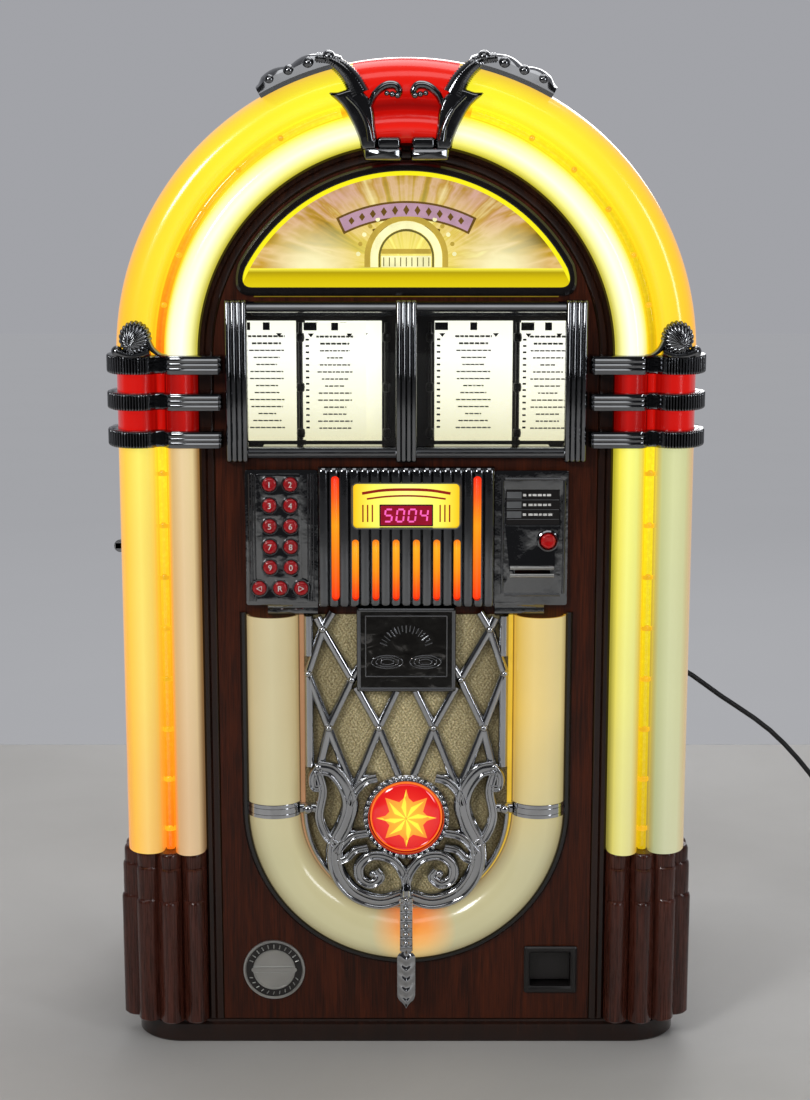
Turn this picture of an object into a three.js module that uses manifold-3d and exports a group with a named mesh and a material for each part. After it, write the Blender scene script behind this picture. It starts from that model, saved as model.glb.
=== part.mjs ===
// Floor-standing CD jukebox with a round-topped lit front.
// Millimetres, +Z up, the front faces -Y, the origin is on the floor under the middle of the cabinet.
import * as THREE from "three";
import { mergeVertices } from "three/addons/utils/BufferGeometryUtils.js";
import Module from "manifold-3d";

const wasm = await Module();
wasm.setup();

// Cabinet
const FRONT_Y = -227; // face of the front panel
const BACK_Y = 263;
const SEAM_Y = -147; // plane where the hinged front meets the cabinet
const PLINTH_TOP = 32;
const PLINTH_HALF = 362;
const PLINTH_CORNER = 62;
const ARCH_Z = 913; // centre of every arch
const SHELL_HALF = 350;
const SHELL_WALL = 15;
const SHELL_MOUTH_HALF = 302;
const SHELF_Z = 560;
const GAP = 0.4; // clearance between neighbouring pieces

// Front frame and panel
const FRAME_OUTER = 262;
const FRAME_INNER = 242;
const PANEL_HALF = 241.6;
const PANEL_THICK = 18.5;
const FRONT_BOTTOM = 33;

// Lit columns and arch: inner lobe, groove with the bubble tube, outer lobe
const PLASTIC_WALL = 3;
const LOBE_START = 263;
const LOBE_END = 302;
const LOBE_PROUD = 24;
const GROOVE_END = 317;
const GROOVE_Y = -214;
const OUTER_HALF = 368;
const TUBE_HALF = 309.5;
const TUBE_Y = -221;
const TUBE_RADIUS = 5.5;
const COLUMN_BOTTOM = 267;
const COLLAR_BOTTOM = 800;
const CROWN_HALF_ANGLE = 10.4; // degrees either side of straight up

// U-shaped light and grille
const U_CENTRE_Z = 325;
const U_OUTER = 205;
const U_INNER = 138;
const U_PROUD = 28.5;
const U_TOP = 583.5;
const MEDALLION_Z = 317;

// Title holder
const TITLE_HALF = 226;
const TITLE_BOTTOM = 781;
const TITLE_TOP = 984;
const LEAF_Y = -130.5;
const LEAVES = [["title_leaf_right", 145, 76], ["title_leaf_left", -138, 86]]; // name, spine x, width
const FIXED_SPINES = [-26, 31];
const BACK_PAGES = [[-221, -144], [-132, -32], [37, 139], [150, 220]]; // from x, to x

// Mains lead
const CORD_RADIUS = 4;
const GLAND = [300, 400]; // x, z
const COIL_CENTRE = [805, 240]; // x, y
const COIL_MID_RADIUS = 48;
const COIL_HALF_WIDTH = 12;
const COIL_HEIGHT = 16;

const group = new THREE.Group();

// ---------- solids ----------

function bare(geometry) {
  const g = geometry.index ? geometry.toNonIndexed() : geometry;
  const only = new THREE.BufferGeometry();
  only.setAttribute("position", g.getAttribute("position").clone());
  return mergeVertices(only, 1e-4);
}

// Turns the faces round when they point inwards.
function outward(geometry) {
  const g = bare(geometry);
  const p = g.getAttribute("position");
  const index = g.index.array;
  const [a, b, c] = [new THREE.Vector3(), new THREE.Vector3(), new THREE.Vector3()];
  let volume = 0;
  for (let i = 0; i < index.length; i += 3) {
    a.fromBufferAttribute(p, index[i]);
    b.fromBufferAttribute(p, index[i + 1]);
    c.fromBufferAttribute(p, index[i + 2]);
    volume += a.dot(b.cross(c));
  }
  if (volume < 0) {
    for (let i = 0; i < index.length; i += 3) {
      [index[i + 1], index[i + 2]] = [index[i + 2], index[i + 1]];
    }
  }
  return g;
}

function toSolid(geometry) {
  const g = outward(geometry);
  return new wasm.Manifold(
    new wasm.Mesh({
      numProp: 3,
      vertProperties: new Float32Array(g.getAttribute("position").array),
      triVerts: new Uint32Array(g.index.array),
    }),
  );
}

function toGeometry(solid) {
  const mesh = solid.getMesh();
  const g = new THREE.BufferGeometry();
  g.setAttribute("position", new THREE.BufferAttribute(mesh.vertProperties, 3));
  g.setIndex(new THREE.BufferAttribute(mesh.triVerts, 1));
  return g;
}

function join(...geometries) {
  return toGeometry(geometries.map(toSolid).reduce((a, b) => a.add(b)));
}

function cut(base, ...tools) {
  return toGeometry(tools.map(toSolid).reduce((a, b) => a.subtract(b), toSolid(base)));
}

function box(x0, x1, y0, y1, z0, z1) {
  const g = new THREE.BoxGeometry(x1 - x0, y1 - y0, z1 - z0);
  return g.translate((x0 + x1) / 2, (y0 + y1) / 2, (z0 + z1) / 2);
}

// An outline in the XZ plane made solid between two depths.
function prismY(shape, y0, y1, curveSegments = 10) {
  const g = new THREE.ExtrudeGeometry(shape, {
    depth: y1 - y0,
    bevelEnabled: false,
    curveSegments,
  });
  return g.rotateX(Math.PI / 2).translate(0, y1, 0);
}

// An outline in the XY plane made solid between two heights.
function prismZ(shape, z0, z1, curveSegments = 6) {
  const g = new THREE.ExtrudeGeometry(shape, {
    depth: z1 - z0,
    bevelEnabled: false,
    curveSegments,
  });
  return g.translate(0, 0, z1 - z0 > 0 ? z0 : z1);
}

function polygon(points) {
  return new THREE.Shape(points.map(([a, b]) => new THREE.Vector2(a, b)));
}

// A turned piece whose axis runs front to back through (x, z).
function turned(profile, x, z, segments = 24) {
  const g = new THREE.LatheGeometry(
    profile.map(([r, y]) => new THREE.Vector2(r, y)),
    segments,
  );
  return outward(g.translate(x, 0, z));
}

function cylinderY(radius, x, z, y0, y1, segments = 24) {
  return turned([[0, y0], [radius, y0], [radius, y1], [0, y1]], x, z, segments);
}

// A piece turned about a vertical axis through (x, y).
function turnedZ(profile, x, y, segments = 24) {
  const g = new THREE.LatheGeometry(
    profile.map(([r, z]) => new THREE.Vector2(r, z)),
    segments,
  );
  return outward(g.rotateX(Math.PI / 2).translate(x, y, 0));
}

// Joins equal loops of points into one closed solid with flat ends.
function skin(contour, loops) {
  const count = contour.length;
  const positions = loops.flat().flatMap((p) => [p.x, p.y, p.z]);
  const faces = [];
  for (let k = 0; k < loops.length - 1; k++) {
    for (let i = 0; i < count; i++) {
      const a = k * count + i;
      const b = k * count + ((i + 1) % count);
      faces.push(a, b, b + count, a, b + count, a + count);
    }
  }
  const last = (loops.length - 1) * count;
  for (const [a, b, c] of THREE.ShapeUtils.triangulateShape(contour, [])) {
    faces.push(c, b, a, last + a, last + b, last + c);
  }
  const g = new THREE.BufferGeometry();
  g.setAttribute("position", new THREE.Float32BufferAttribute(positions, 3));
  g.setIndex(faces);
  return outward(g);
}

function mirrored(geometry) {
  return outward(bare(geometry).scale(-1, 1, 1));
}

function radians(degrees) {
  return (degrees * Math.PI) / 180;
}

// ---------- outlines ----------

function archShape(half, bottom) {
  const shape = new THREE.Shape();
  shape.moveTo(-half, bottom);
  shape.lineTo(half, bottom);
  shape.lineTo(half, ARCH_Z);
  shape.absarc(0, ARCH_Z, half, 0, Math.PI, false);
  shape.lineTo(-half, bottom);
  return shape;
}

// The line moved sideways by a distance, to the left of its direction.
function offsetLine(points, distance) {
  return points.map((p, i) => {
    const before = points[Math.max(i - 1, 0)];
    const after = points[Math.min(i + 1, points.length - 1)];
    const d1 = new THREE.Vector2().subVectors(p, before);
    const d2 = new THREE.Vector2().subVectors(after, p);
    if (d1.length() === 0) d1.copy(d2);
    if (d2.length() === 0) d2.copy(d1);
    d1.normalize();
    d2.normalize();
    const mean = d1.clone().add(d2).normalize();
    const stretch = 1 / Math.max(mean.dot(d1), 0.6);
    return new THREE.Vector2(p.x - mean.y * distance * stretch, p.y + mean.x * distance * stretch);
  });
}

// Section of the lit columns and arch: x is the distance from the middle, y the depth.
function lampLine() {
  const line = [new THREE.Vector2(LOBE_START, FRONT_Y + 22)];
  const middle = (LOBE_START + LOBE_END) / 2;
  const half = (LOBE_END - LOBE_START) / 2;
  for (let i = 0; i <= 7; i++) {
    const t = Math.PI - (i * Math.PI) / 7;
    line.push(new THREE.Vector2(middle + half * Math.cos(t), FRONT_Y - LOBE_PROUD * Math.sin(t)));
  }
  line.push(new THREE.Vector2(LOBE_END + 1, GROOVE_Y));
  line.push(new THREE.Vector2(GROOVE_END - 1, GROOVE_Y));
  const outer = new THREE.CubicBezierCurve(
    new THREE.Vector2(GROOVE_END, FRONT_Y - 2),
    new THREE.Vector2(GROOVE_END + 4, FRONT_Y - 24),
    new THREE.Vector2(OUTER_HALF - 8, FRONT_Y - 24),
    new THREE.Vector2(OUTER_HALF - 2, FRONT_Y + 17),
  );
  line.push(...outer.getPoints(6));
  line.push(new THREE.Vector2(OUTER_HALF, SEAM_Y - 19));
  return line;
}

const lampOutline = [
  ...lampLine(),
  ...offsetLine(lampLine(), PLASTIC_WALL).reverse(),
];

function columnOf(z0, z1) {
  const loops = [z0, z1].map((z) => lampOutline.map((p) => new THREE.Vector3(p.x, p.y, z)));
  return skin(lampOutline, loops);
}

function archOf(section, from, to, steps) {
  const loops = [];
  for (let i = 0; i <= steps; i++) {
    const a = radians(from + ((to - from) * i) / steps);
    loops.push(
      section.map(
        (p) => new THREE.Vector3(p.x * Math.cos(a), p.y, ARCH_Z + p.x * Math.sin(a)),
      ),
    );
  }
  return skin(section, loops);
}

function circle(x, y, radius, sides) {
  return Array.from({ length: sides }, (_, i) => {
    const a = (2 * Math.PI * (i + 0.5)) / sides;
    return new THREE.Vector2(x + radius * Math.cos(a), y + radius * Math.sin(a));
  });
}

// A strip of even width along a smooth line in the XZ plane.
function strip(points, width, y0, y1, steps = 4) {
  const curve = new THREE.SplineCurve(points.map(([x, z]) => new THREE.Vector2(x, z)));
  const line = points.length > 2 ? curve.getPoints(steps * (points.length - 1)) : curve.getPoints(1);
  const edge = offsetLine(line, width / 2);
  const far = offsetLine(line, -width / 2).reverse();
  return prismY(new THREE.Shape([...edge, ...far]), y0, y1);
}

function both(make) {
  return [make(1), make(-1)];
}

// ---------- materials and nodes ----------

const colours = {
  walnut: [0x3a1a10, 0.35, 0],
  dark_frame: [0x140b08, 0.3, 0],
  pilaster_wood: [0x4a2a1c, 0.3, 0],
  plywood: [0x9a7a52, 0.8, 0],
  lamp_amber: [0xf2b24a, 0.35, 0],
  lamp_cream: [0xe8dfb4, 0.35, 0],
  lamp_red: [0xc01010, 0.3, 0],
  chrome: [0xd0d2d6, 0.12, 1],
  glass: [0xe8f0f0, 0.05, 0],
  paper: [0xe9e6d8, 0.8, 0],
  black: [0x101010, 0.5, 0],
  button_red: [0x9c1414, 0.3, 0],
  art: [0xd8b030, 0.4, 0],
  cloth: [0x8a7440, 0.9, 0],
  steel: [0x8f9296, 0.4, 0.8],
};

function add(name, geometry, colour) {
  const [color, roughness, metalness] = colours[colour];
  const material = new THREE.MeshStandardMaterial({ color, roughness, metalness });
  material.name = colour;
  const mesh = new THREE.Mesh(outward(geometry), material);
  mesh.name = name;
  group.add(mesh);
}

function addPair(name, rightGeometry, colour) {
  add(name + "_right", rightGeometry, colour);
  add(name + "_left", mirrored(rightGeometry), colour);
}

// ---------- cabinet ----------

function plinthShape() {
  const shape = new THREE.Shape();
  shape.moveTo(PLINTH_HALF, BACK_Y - 4);
  shape.lineTo(-PLINTH_HALF, BACK_Y - 4);
  shape.lineTo(-PLINTH_HALF, FRONT_Y + PLINTH_CORNER);
  shape.absarc(
    -PLINTH_HALF + PLINTH_CORNER, FRONT_Y + PLINTH_CORNER, PLINTH_CORNER, Math.PI, 1.5 * Math.PI, false,
  );
  shape.lineTo(PLINTH_HALF - PLINTH_CORNER, FRONT_Y);
  shape.absarc(
    PLINTH_HALF - PLINTH_CORNER, FRONT_Y + PLINTH_CORNER, PLINTH_CORNER, 1.5 * Math.PI, 2 * Math.PI, false,
  );
  return shape;
}
add(
  "plinth",
  prismZ(plinthShape(), 0, PLINTH_TOP),
  "dark_frame",
);

const shellBottom = PLINTH_TOP + GAP;
const shellFront = SEAM_Y + 0.5;
add(
  "cabinet_shell",
  join(
    cut(
      prismY(archShape(SHELL_HALF, shellBottom), shellFront, BACK_Y, 20),
      prismY(
        archShape(SHELL_HALF - SHELL_WALL, shellBottom + SHELL_WALL),
        shellFront + SHELL_WALL,
        BACK_Y + 10,
        16,
      ),
      prismY(archShape(SHELL_MOUTH_HALF, shellBottom + 30), shellFront - 10, shellFront + 40, 14),
    ),
    box(-SHELL_HALF + 8, SHELL_HALF - 8, shellFront + 10, 200, SHELF_Z, SHELF_Z + SHELL_WALL),
  ),
  "plywood",
);

const ventSlots = [];
for (let i = 0; i < 6; i++) {
  ventSlots.push(box(-120, 120, 240, 260, 960 + i * 26, 970 + i * 26));
}
const rearHalf = SHELL_HALF - SHELL_WALL - 0.6;
add(
  "rear_panel",
  cut(
    prismY(archShape(rearHalf, shellBottom + SHELL_WALL + GAP), 246, 254, 14),
    ...ventSlots,
  ),
  "plywood",
);

const hingeAxis = [358, SEAM_Y - 3];
const hingeLeaf = new THREE.Shape();
hingeLeaf.moveTo(SHELL_HALF + GAP, -104);
hingeLeaf.lineTo(SHELL_HALF + GAP, SEAM_Y + 5);
hingeLeaf.lineTo(hingeAxis[0] - 4.2, hingeAxis[1] + 2);
hingeLeaf.absarc(hingeAxis[0], hingeAxis[1], 4.5, radians(150), radians(40), false);
hingeLeaf.lineTo(SHELL_HALF + 2.9, SEAM_Y + 8);
hingeLeaf.lineTo(SHELL_HALF + 2.9, -104);
add("door_hinge", prismZ(hingeLeaf, 120, 780), "steel");

const spindleX = -60;
const spindleY = 60;
add(
  "cd_player",
  join(
    box(-205, 205, -75, 195, SHELF_Z + SHELL_WALL + GAP, 632),
    box(88, 190, -20, 140, 625, 842),
    box(62, 95, 40, 80, 640, 690),
    turnedZ([[0, 630], [14, 630], [14, 826], [0, 826]], spindleX, spindleY, 16),
  ),
  "steel",
);
add(
  "cd_magazine",
  turnedZ(
    [[17, 636], [112, 636], [112, 646], [42, 652], [42, 792], [112, 798], [112, 808], [17, 808], [17, 636]],
    spindleX,
    spindleY,
    20,
  ),
  "black",
);
add(
  "amplifier",
  join(
    box(-150, 110, -60, 140, shellBottom + SHELL_WALL + GAP, 140),
    box(-130, -60, -40, 30, 130, 182),
    box(20, 95, -40, 110, 135, 164),
  ),
  "steel",
);
add(
  "cord_gland",
  turned(
    [[0, 254 + GAP], [15, 254 + GAP], [15, 257.5], [9, 258.5], [7.5, 262.7], [0, 262.7]],
    GLAND[0],
    GLAND[1],
    16,
  ),
  "black",
);

// ---------- front frame and panel ----------

add(
  "front_frame",
  join(
    cut(
      prismY(archShape(FRAME_OUTER, FRONT_BOTTOM), FRONT_Y, SEAM_Y, 24),
      prismY(archShape(FRAME_INNER, 0), FRONT_Y - 5, FRONT_Y + PANEL_THICK + GAP, 24),
      prismY(archShape(FRAME_INNER - 5, 0), FRONT_Y + 5, SEAM_Y + 5, 16),
    ),
    cut(
      prismY(archShape(SHELL_HALF - 1, FRONT_BOTTOM), SEAM_Y - 16, SEAM_Y, 18),
      prismY(archShape(FRAME_OUTER - 8, 0), SEAM_Y - 20, SEAM_Y + 5, 16),
    ),
  ),
  "dark_frame",
);

add(
  "front_panel",
  cut(
    prismY(archShape(PANEL_HALF, FRONT_BOTTOM + 0.2), FRONT_Y, FRONT_Y + PANEL_THICK, 24),
    box(-205.5, 205.5, FRONT_Y - 5, FRONT_Y + 30, 790, 978),
    cylinderY(86, 0, 420, FRONT_Y - 5, FRONT_Y + 30, 16),
    box(161, 221, FRONT_Y - 5, FRONT_Y + 30, 76, 129),
  ),
  "walnut",
);

// ---------- pilasters and arch ----------

// Convex lobes of the wooden pilaster feet, each an arc between two corners.
function footOutline(grow) {
  const corners = [[262.6, -226], [294, -231], [326, -230], [355, -216], [368, -187], [369, -165]];
  const bulges = [15, 15, 13, 12, 6];
  const points = [[262.6, SEAM_Y - 17]];
  for (let i = 0; i < bulges.length; i++) {
    const [ax, ay] = corners[i];
    const [bx, by] = corners[i + 1];
    const length = Math.hypot(bx - ax, by - ay);
    const normal = [(by - ay) / length, -(bx - ax) / length];
    for (let k = 0; k < 5; k++) {
      const t = k / 5;
      const out = (bulges[i] + grow) * Math.sin(Math.PI * t) ** 0.7 + grow * 0.5;
      points.push([ax + (bx - ax) * t + normal[0] * out, ay + (by - ay) * t + normal[1] * out]);
    }
  }
  points[1][0] = 262.6;
  points.push([369 + grow, SEAM_Y - 17]);
  return points.map(([x, y]) => new THREE.Vector2(x, y));
}

const footTiers = [
  [FRONT_BOTTOM, 3],
  [200, 3],
  [204, 1.5],
  [244, 1.5],
  [248, 0],
  [COLUMN_BOTTOM - GAP, 0],
];
addPair(
  "pilaster_base",
  skin(
    footOutline(0),
    footTiers.map(([z, grow]) => footOutline(grow).map((p) => new THREE.Vector3(p.x, p.y, z))),
  ),
  "pilaster_wood",
);

addPair("pilaster_plastic", columnOf(COLUMN_BOTTOM, COLLAR_BOTTOM - GAP), "lamp_amber");
addPair("collar_plastic", columnOf(COLLAR_BOTTOM, ARCH_Z - GAP), "lamp_red");
addPair("arch_plastic", archOf(lampOutline, 0.03, 90 - CROWN_HALF_ANGLE - 0.06, 12), "lamp_amber");
add(
  "crown_plastic",
  archOf(lampOutline, 90 - CROWN_HALF_ANGLE, 90 + CROWN_HALF_ANGLE, 3),
  "lamp_red",
);

const tubeSection = circle(TUBE_HALF, TUBE_Y, TUBE_RADIUS, 6);
const tubeLoops = [tubeSection.map((p) => new THREE.Vector3(p.x, p.y, COLUMN_BOTTOM + 1))];
for (let i = 0; i <= 12; i++) {
  const a = radians((75 * i) / 12);
  tubeLoops.push(
    tubeSection.map((p) => new THREE.Vector3(p.x * Math.cos(a), p.y, ARCH_Z + p.x * Math.sin(a))),
  );
}
addPair("bubble_tube", skin(tubeSection, tubeLoops), "glass");

addPair(
  "colour_cylinder",
  turnedZ(
    [[0, 276], [19, 276], [19, 788], [17.4, 788], [17.4, 278], [0, 278]],
    341,
    -188,
    16,
  ),
  "lamp_amber",
);

// ---------- chrome collars ----------

// One band of a collar seen from above: a strap over the frame, a neck and a ribbed outer part.
function bandOutline() {
  const strap = [[230, -227.5], [230, -251], [232, -255.5], [237, -258], [294, -258], [299, -252]];
  const neck = [[304, -238], [314, -238], [319, -252]];
  const ribCurve = new THREE.CubicBezierCurve(
    new THREE.Vector2(321, -255),
    new THREE.Vector2(340, -266),
    new THREE.Vector2(378, -258),
    new THREE.Vector2(381, -190),
  );
  const ribs = ribCurve.getPoints(12).map((p, i) => {
    const t = ribCurve.getTangent(i / 12);
    const depth = i % 2 ? 1.4 : 0;
    return [p.x - t.y * depth, p.y + t.x * depth];
  });
  const end = [[380, -172], [376, -167], [369.2, -166.5]];
  const lined = offsetLine(lampLine(), -0.6).filter(
    (p) => p.y < FRONT_Y - 1 || p.x > GROOVE_END + 1,
  );
  const inner = lined
    .reverse()
    .map((p) => [p.x, p.y])
    .flatMap((p, i, all) =>
      i && p[0] < LOBE_END + 2 && all[i - 1][0] > GROOVE_END - 2
        ? [[GROOVE_END - 1, -229.4], [LOBE_END + 0.8, -229.4], p]
        : [p],
    );
  return polygon([...strap, ...neck, ...ribs, ...end, ...inner, [262, -227.5]]);
}

const finialX = 337;
addPair(
  "collar_casting",
  join(
    prismZ(bandOutline(), COLLAR_BOTTOM, COLLAR_BOTTOM + 22),
    prismZ(bandOutline(), COLLAR_BOTTOM + 47, COLLAR_BOTTOM + 69),
    prismZ(bandOutline(), COLLAR_BOTTOM + 92, COLLAR_BOTTOM + 116),
    box(246, 260, -230, -227.5, COLLAR_BOTTOM + 1, COLLAR_BOTTOM + 115),
    prismY(
      polygon([[296, 915], [297, 917.5], [306, 921], [317, 933], [332, 936], [356, 915]]),
      -258,
      -248.6,
    ),
    turned(
      [[0, -262.4], [8, -261], [14, -257.5], [17.6, -253], [18.5, -248.6], [0, -248.6]],
      finialX,
      936,
      16,
    ),
  ),
  "chrome",
);

// ---------- crown clasps ----------

const claspFront = polygon([
  [5, 1154], [53, 1152], [57, 1172], [65, 1193], [77, 1219], [93, 1233], [77, 1239], [84, 1251],
  [98, 1262], [92, 1277], [84, 1280], [74, 1277], [62, 1264], [51, 1244], [46, 1237], [34, 1246],
  [17, 1247], [6, 1243], [7, 1229], [17, 1230], [24, 1236], [34, 1226], [37, 1209], [36, 1191],
  [31, 1186], [10, 1188], [5, 1181],
].reverse());

function claspTail() {
  const points = [];
  for (let i = 0; i <= 5; i++) {
    const a = radians(77.5 - (14 * i) / 5);
    points.push([(OUTER_HALF + 1.6) * Math.cos(a), ARCH_Z + (OUTER_HALF + 1.6) * Math.sin(a)]);
  }
  const tops = [10, 16, 10, 6, 9, 8];
  for (let i = 0; i <= 5; i++) {
    const a = radians(77.5 - (14 * i) / 5);
    const r = OUTER_HALF + tops[i];
    points.push([r * Math.cos(a), ARCH_Z + r * Math.sin(a)]);
  }
  const outer = points.splice(6).reverse();
  return prismY(polygon([...points, ...outer]), -262, -190);
}

addPair(
  "crown_clasp",
  join(
    prismY(claspFront, -262.6, -252.4),
    prismY(polygon([[5, 1155], [5, 1172], [52, 1167], [51, 1153]]), -255, FRONT_Y - GAP),
    claspTail(),
  ),
  "chrome",
);

// ---------- arch window ----------

const windowBottom = 999;
const windowRadius = 228.5;
const windowStart = Math.asin((windowBottom + 24 - ARCH_Z) / windowRadius);
const windowShape = new THREE.Shape();
windowShape.moveTo(-192, windowBottom);
windowShape.lineTo(192, windowBottom);
windowShape.quadraticCurveTo(
  210,
  windowBottom,
  windowRadius * Math.cos(windowStart),
  windowBottom + 24,
);
windowShape.absarc(0, ARCH_Z, windowRadius, windowStart, Math.PI - windowStart, false);
windowShape.quadraticCurveTo(-210, windowBottom, -192, windowBottom);
add("arch_window", prismY(windowShape, FRONT_Y - 2.4, FRONT_Y - GAP, 18), "art");

// ---------- title holder ----------

function flutedBar(x0, x1) {
  const flutes = 4;
  const pitch = (x1 - x0) / flutes;
  const points = [[x0, FRONT_Y - GAP]];
  for (let i = 0; i < flutes; i++) {
    points.push([x0 + i * pitch, FRONT_Y - 15]);
    points.push([x0 + (i + 0.25) * pitch, FRONT_Y - 17.5]);
    points.push([x0 + (i + 0.75) * pitch, FRONT_Y - 17.5]);
  }
  points.push([x1, FRONT_Y - 15], [x1, FRONT_Y - GAP]);
  return prismZ(polygon(points.reverse()), TITLE_BOTTOM, TITLE_TOP);
}

function rail(z0, z1) {
  const middle = (z0 + z1) / 2;
  const shape = [[FRONT_Y - GAP, z0], [FRONT_Y - 8, z0], [FRONT_Y - 12, middle - 3]];
  shape.push([FRONT_Y - 12, middle + 3], [FRONT_Y - 8, z1], [FRONT_Y - GAP, z1]);
  const g = new THREE.ExtrudeGeometry(polygon(shape), {
    depth: 2 * (TITLE_HALF - 10),
    bevelEnabled: false,
  });
  // outline (y, z) swept along x
  const turn = new THREE.Matrix4().set(0, 0, 1, -(TITLE_HALF - 10), 1, 0, 0, 0, 0, 1, 0, 0, 0, 0, 0, 1);
  return outward(g.applyMatrix4(turn));
}

add(
  "title_frame",
  join(
    rail(968, 982),
    rail(785, 799),
    flutedBar(-TITLE_HALF, -199),
    flutedBar(-13, 13),
    flutedBar(199, TITLE_HALF),
  ),
  "chrome",
);
add("title_glass", box(-205, 205, FRONT_Y + 0.6, FRONT_Y + 3.6, 790.5, 977.5), "glass");

const titleBack = -118;
const pages = BACK_PAGES.map(([x0, x1]) => box(x0, x1, titleBack - 5, titleBack - 1, 795, 952));
const fixedSpines = FIXED_SPINES.map((x) =>
  turnedZ([[0, 785], [2.4, 785], [2.4, 982], [0, 982]], x, LEAF_Y, 8),
);
add(
  "title_box",
  join(
    cut(
      box(-224, 224, FRONT_Y + PANEL_THICK + GAP, titleBack, 784, 983),
      box(-222, 222, FRONT_Y, titleBack - 2, 786, 981),
    ),
    ...pages,
    ...fixedSpines,
  ),
  "black",
);
for (const [name, spine, width] of LEAVES) {
  add(
    name,
    join(
      turnedZ([[0, 797], [2.4, 797], [2.4, 950], [0, 950]], spine, LEAF_Y, 8),
      box(spine, spine + width, LEAF_Y - 0.8, LEAF_Y + 0.8, 797, 950),
    ),
    "paper",
  );
}

// ---------- keypad ----------

const KEY_RADIUS = 9;
const keyRows = [753, 726, 699.5, 673, 646.5];
const keyColumns = [-173, -146.6];
const keys = [["key_left", -187, 619.5], ["key_reset", -160.4, 619.5], ["key_right", -133.8, 619.5]];
keyRows.forEach((z, row) => {
  keyColumns.forEach((x, column) => {
    keys.push(["key_" + ((row * 2 + column + 1) % 10), x, z]);
  });
});

const plateFront = FRONT_Y - 9;
add(
  "keypad_plate",
  cut(
    join(
      box(-204, -112.6, plateFront, FRONT_Y - GAP, 597, 771),
      box(-190, -133, plateFront - 2.5, FRONT_Y - 2, 601, 766),
      box(-177, -113, plateFront, FRONT_Y - GAP, 584, 600),
    ),
    ...keys.map(([, x, z]) => cylinderY(KEY_RADIUS + 0.6, x, z, -260, -220, 10)),
  ),
  "chrome",
);

function button(radius, x, z, segments = 10) {
  const front = FRONT_Y - 17;
  const back = FRONT_Y - 3.8;
  return turned(
    [[0, front], [radius * 0.7, front + 0.8], [radius, front + 3.4], [radius, back], [0, back]],
    x,
    z,
    segments,
  );
}

for (const [name, x, z] of keys) add(name, button(KEY_RADIUS, x, z), "button_red");

// ---------- display ----------

const slotXs = [-64.5, -38.7, -12.9, 12.9, 38.7, 64.5];
function displayBlock() {
  const reeds = 17;
  const pitch = 223 / reeds;
  const points = [[-111.5, FRONT_Y - GAP]];
  for (let i = 0; i < reeds; i++) {
    const x = -111.5 + i * pitch;
    points.push([x, FRONT_Y - 13], [x + pitch * 0.25, FRONT_Y - 16.5], [x + pitch * 0.75, FRONT_Y - 16.5]);
  }
  points.push([111.5, FRONT_Y - 13], [111.5, FRONT_Y - GAP]);
  return prismZ(polygon(points.reverse()), 595, 775);
}
add(
  "display_casting",
  cut(
    displayBlock(),
    box(-97, 97, FRONT_Y - 6, FRONT_Y + 5, 600, 770),
    box(-69, 69, -260, FRONT_Y, 696, 756),
    ...slotXs.map((x) => box(x - 4.3, x + 4.3, -260, FRONT_Y, 604, 683)),
    ...both((side) => box(side * 90 - 4.8, side * 90 + 4.8, -260, FRONT_Y, 604, 764)),
  ),
  "chrome",
);
add("display_backlight", box(-96.5, 96.5, FRONT_Y - 5.6, FRONT_Y - GAP, 600.5, 769.5), "lamp_amber");

// ---------- coin plate ----------

add(
  "coin_plate",
  cut(
    join(
      box(112.4, 205, plateFront, FRONT_Y - GAP, 597, 770),
      box(131, 189, plateFront - 3, FRONT_Y - 2, 633, 648),
      box(113, 176, plateFront, FRONT_Y - GAP, 584, 600),
    ),
    box(125, 196, plateFront - 5, plateFront + 3, 699, 747),
    box(138, 183, plateFront - 8, FRONT_Y + 5, 638.5, 643),
    cylinderY(10.2, 180, 680.5, -260, -220, 12),
  ),
  "chrome",
);
add("coin_reject_button", button(9.6, 180, 680.5, 12), "button_red");

// ---------- U-shaped light ----------

function uSection(half, proud, foot) {
  const middle = (U_OUTER + U_INNER) / 2;
  const points = [];
  for (let i = 0; i <= 6; i++) {
    const t = (i * Math.PI) / 6;
    points.push(new THREE.Vector2(middle - half * Math.cos(t), foot - proud * Math.sin(t)));
  }
  return points;
}
const uHalf = (U_OUTER - U_INNER) / 2;
const uOutline = [
  ...uSection(uHalf, U_PROUD, FRONT_Y - GAP),
  ...uSection(uHalf - 3, U_PROUD - 3, FRONT_Y - GAP).reverse(),
];
const uLoops = [uOutline.map((p) => new THREE.Vector3(p.x, p.y, U_TOP))];
for (let i = 0; i <= 16; i++) {
  const a = (Math.PI * i) / 16;
  uLoops.push(
    uOutline.map((p) => new THREE.Vector3(p.x * Math.cos(a), p.y, U_CENTRE_Z - p.x * Math.sin(a))),
  );
}
uLoops.push(uOutline.map((p) => new THREE.Vector3(-p.x, p.y, U_TOP)));
add("u_light_tube", skin(uOutline, uLoops), "lamp_cream");

// ---------- speaker cloth, grille and medallion ----------

function uPanel(half, top) {
  const shape = new THREE.Shape();
  shape.moveTo(half, top);
  shape.lineTo(-half, top);
  shape.lineTo(-half, U_CENTRE_Z);
  shape.absarc(0, U_CENTRE_Z, half, Math.PI, 2 * Math.PI, false);
  shape.lineTo(half, top);
  return shape;
}
add("speaker_cloth", prismY(uPanel(135, U_TOP), FRONT_Y - 4, FRONT_Y - GAP, 16), "cloth");

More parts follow.
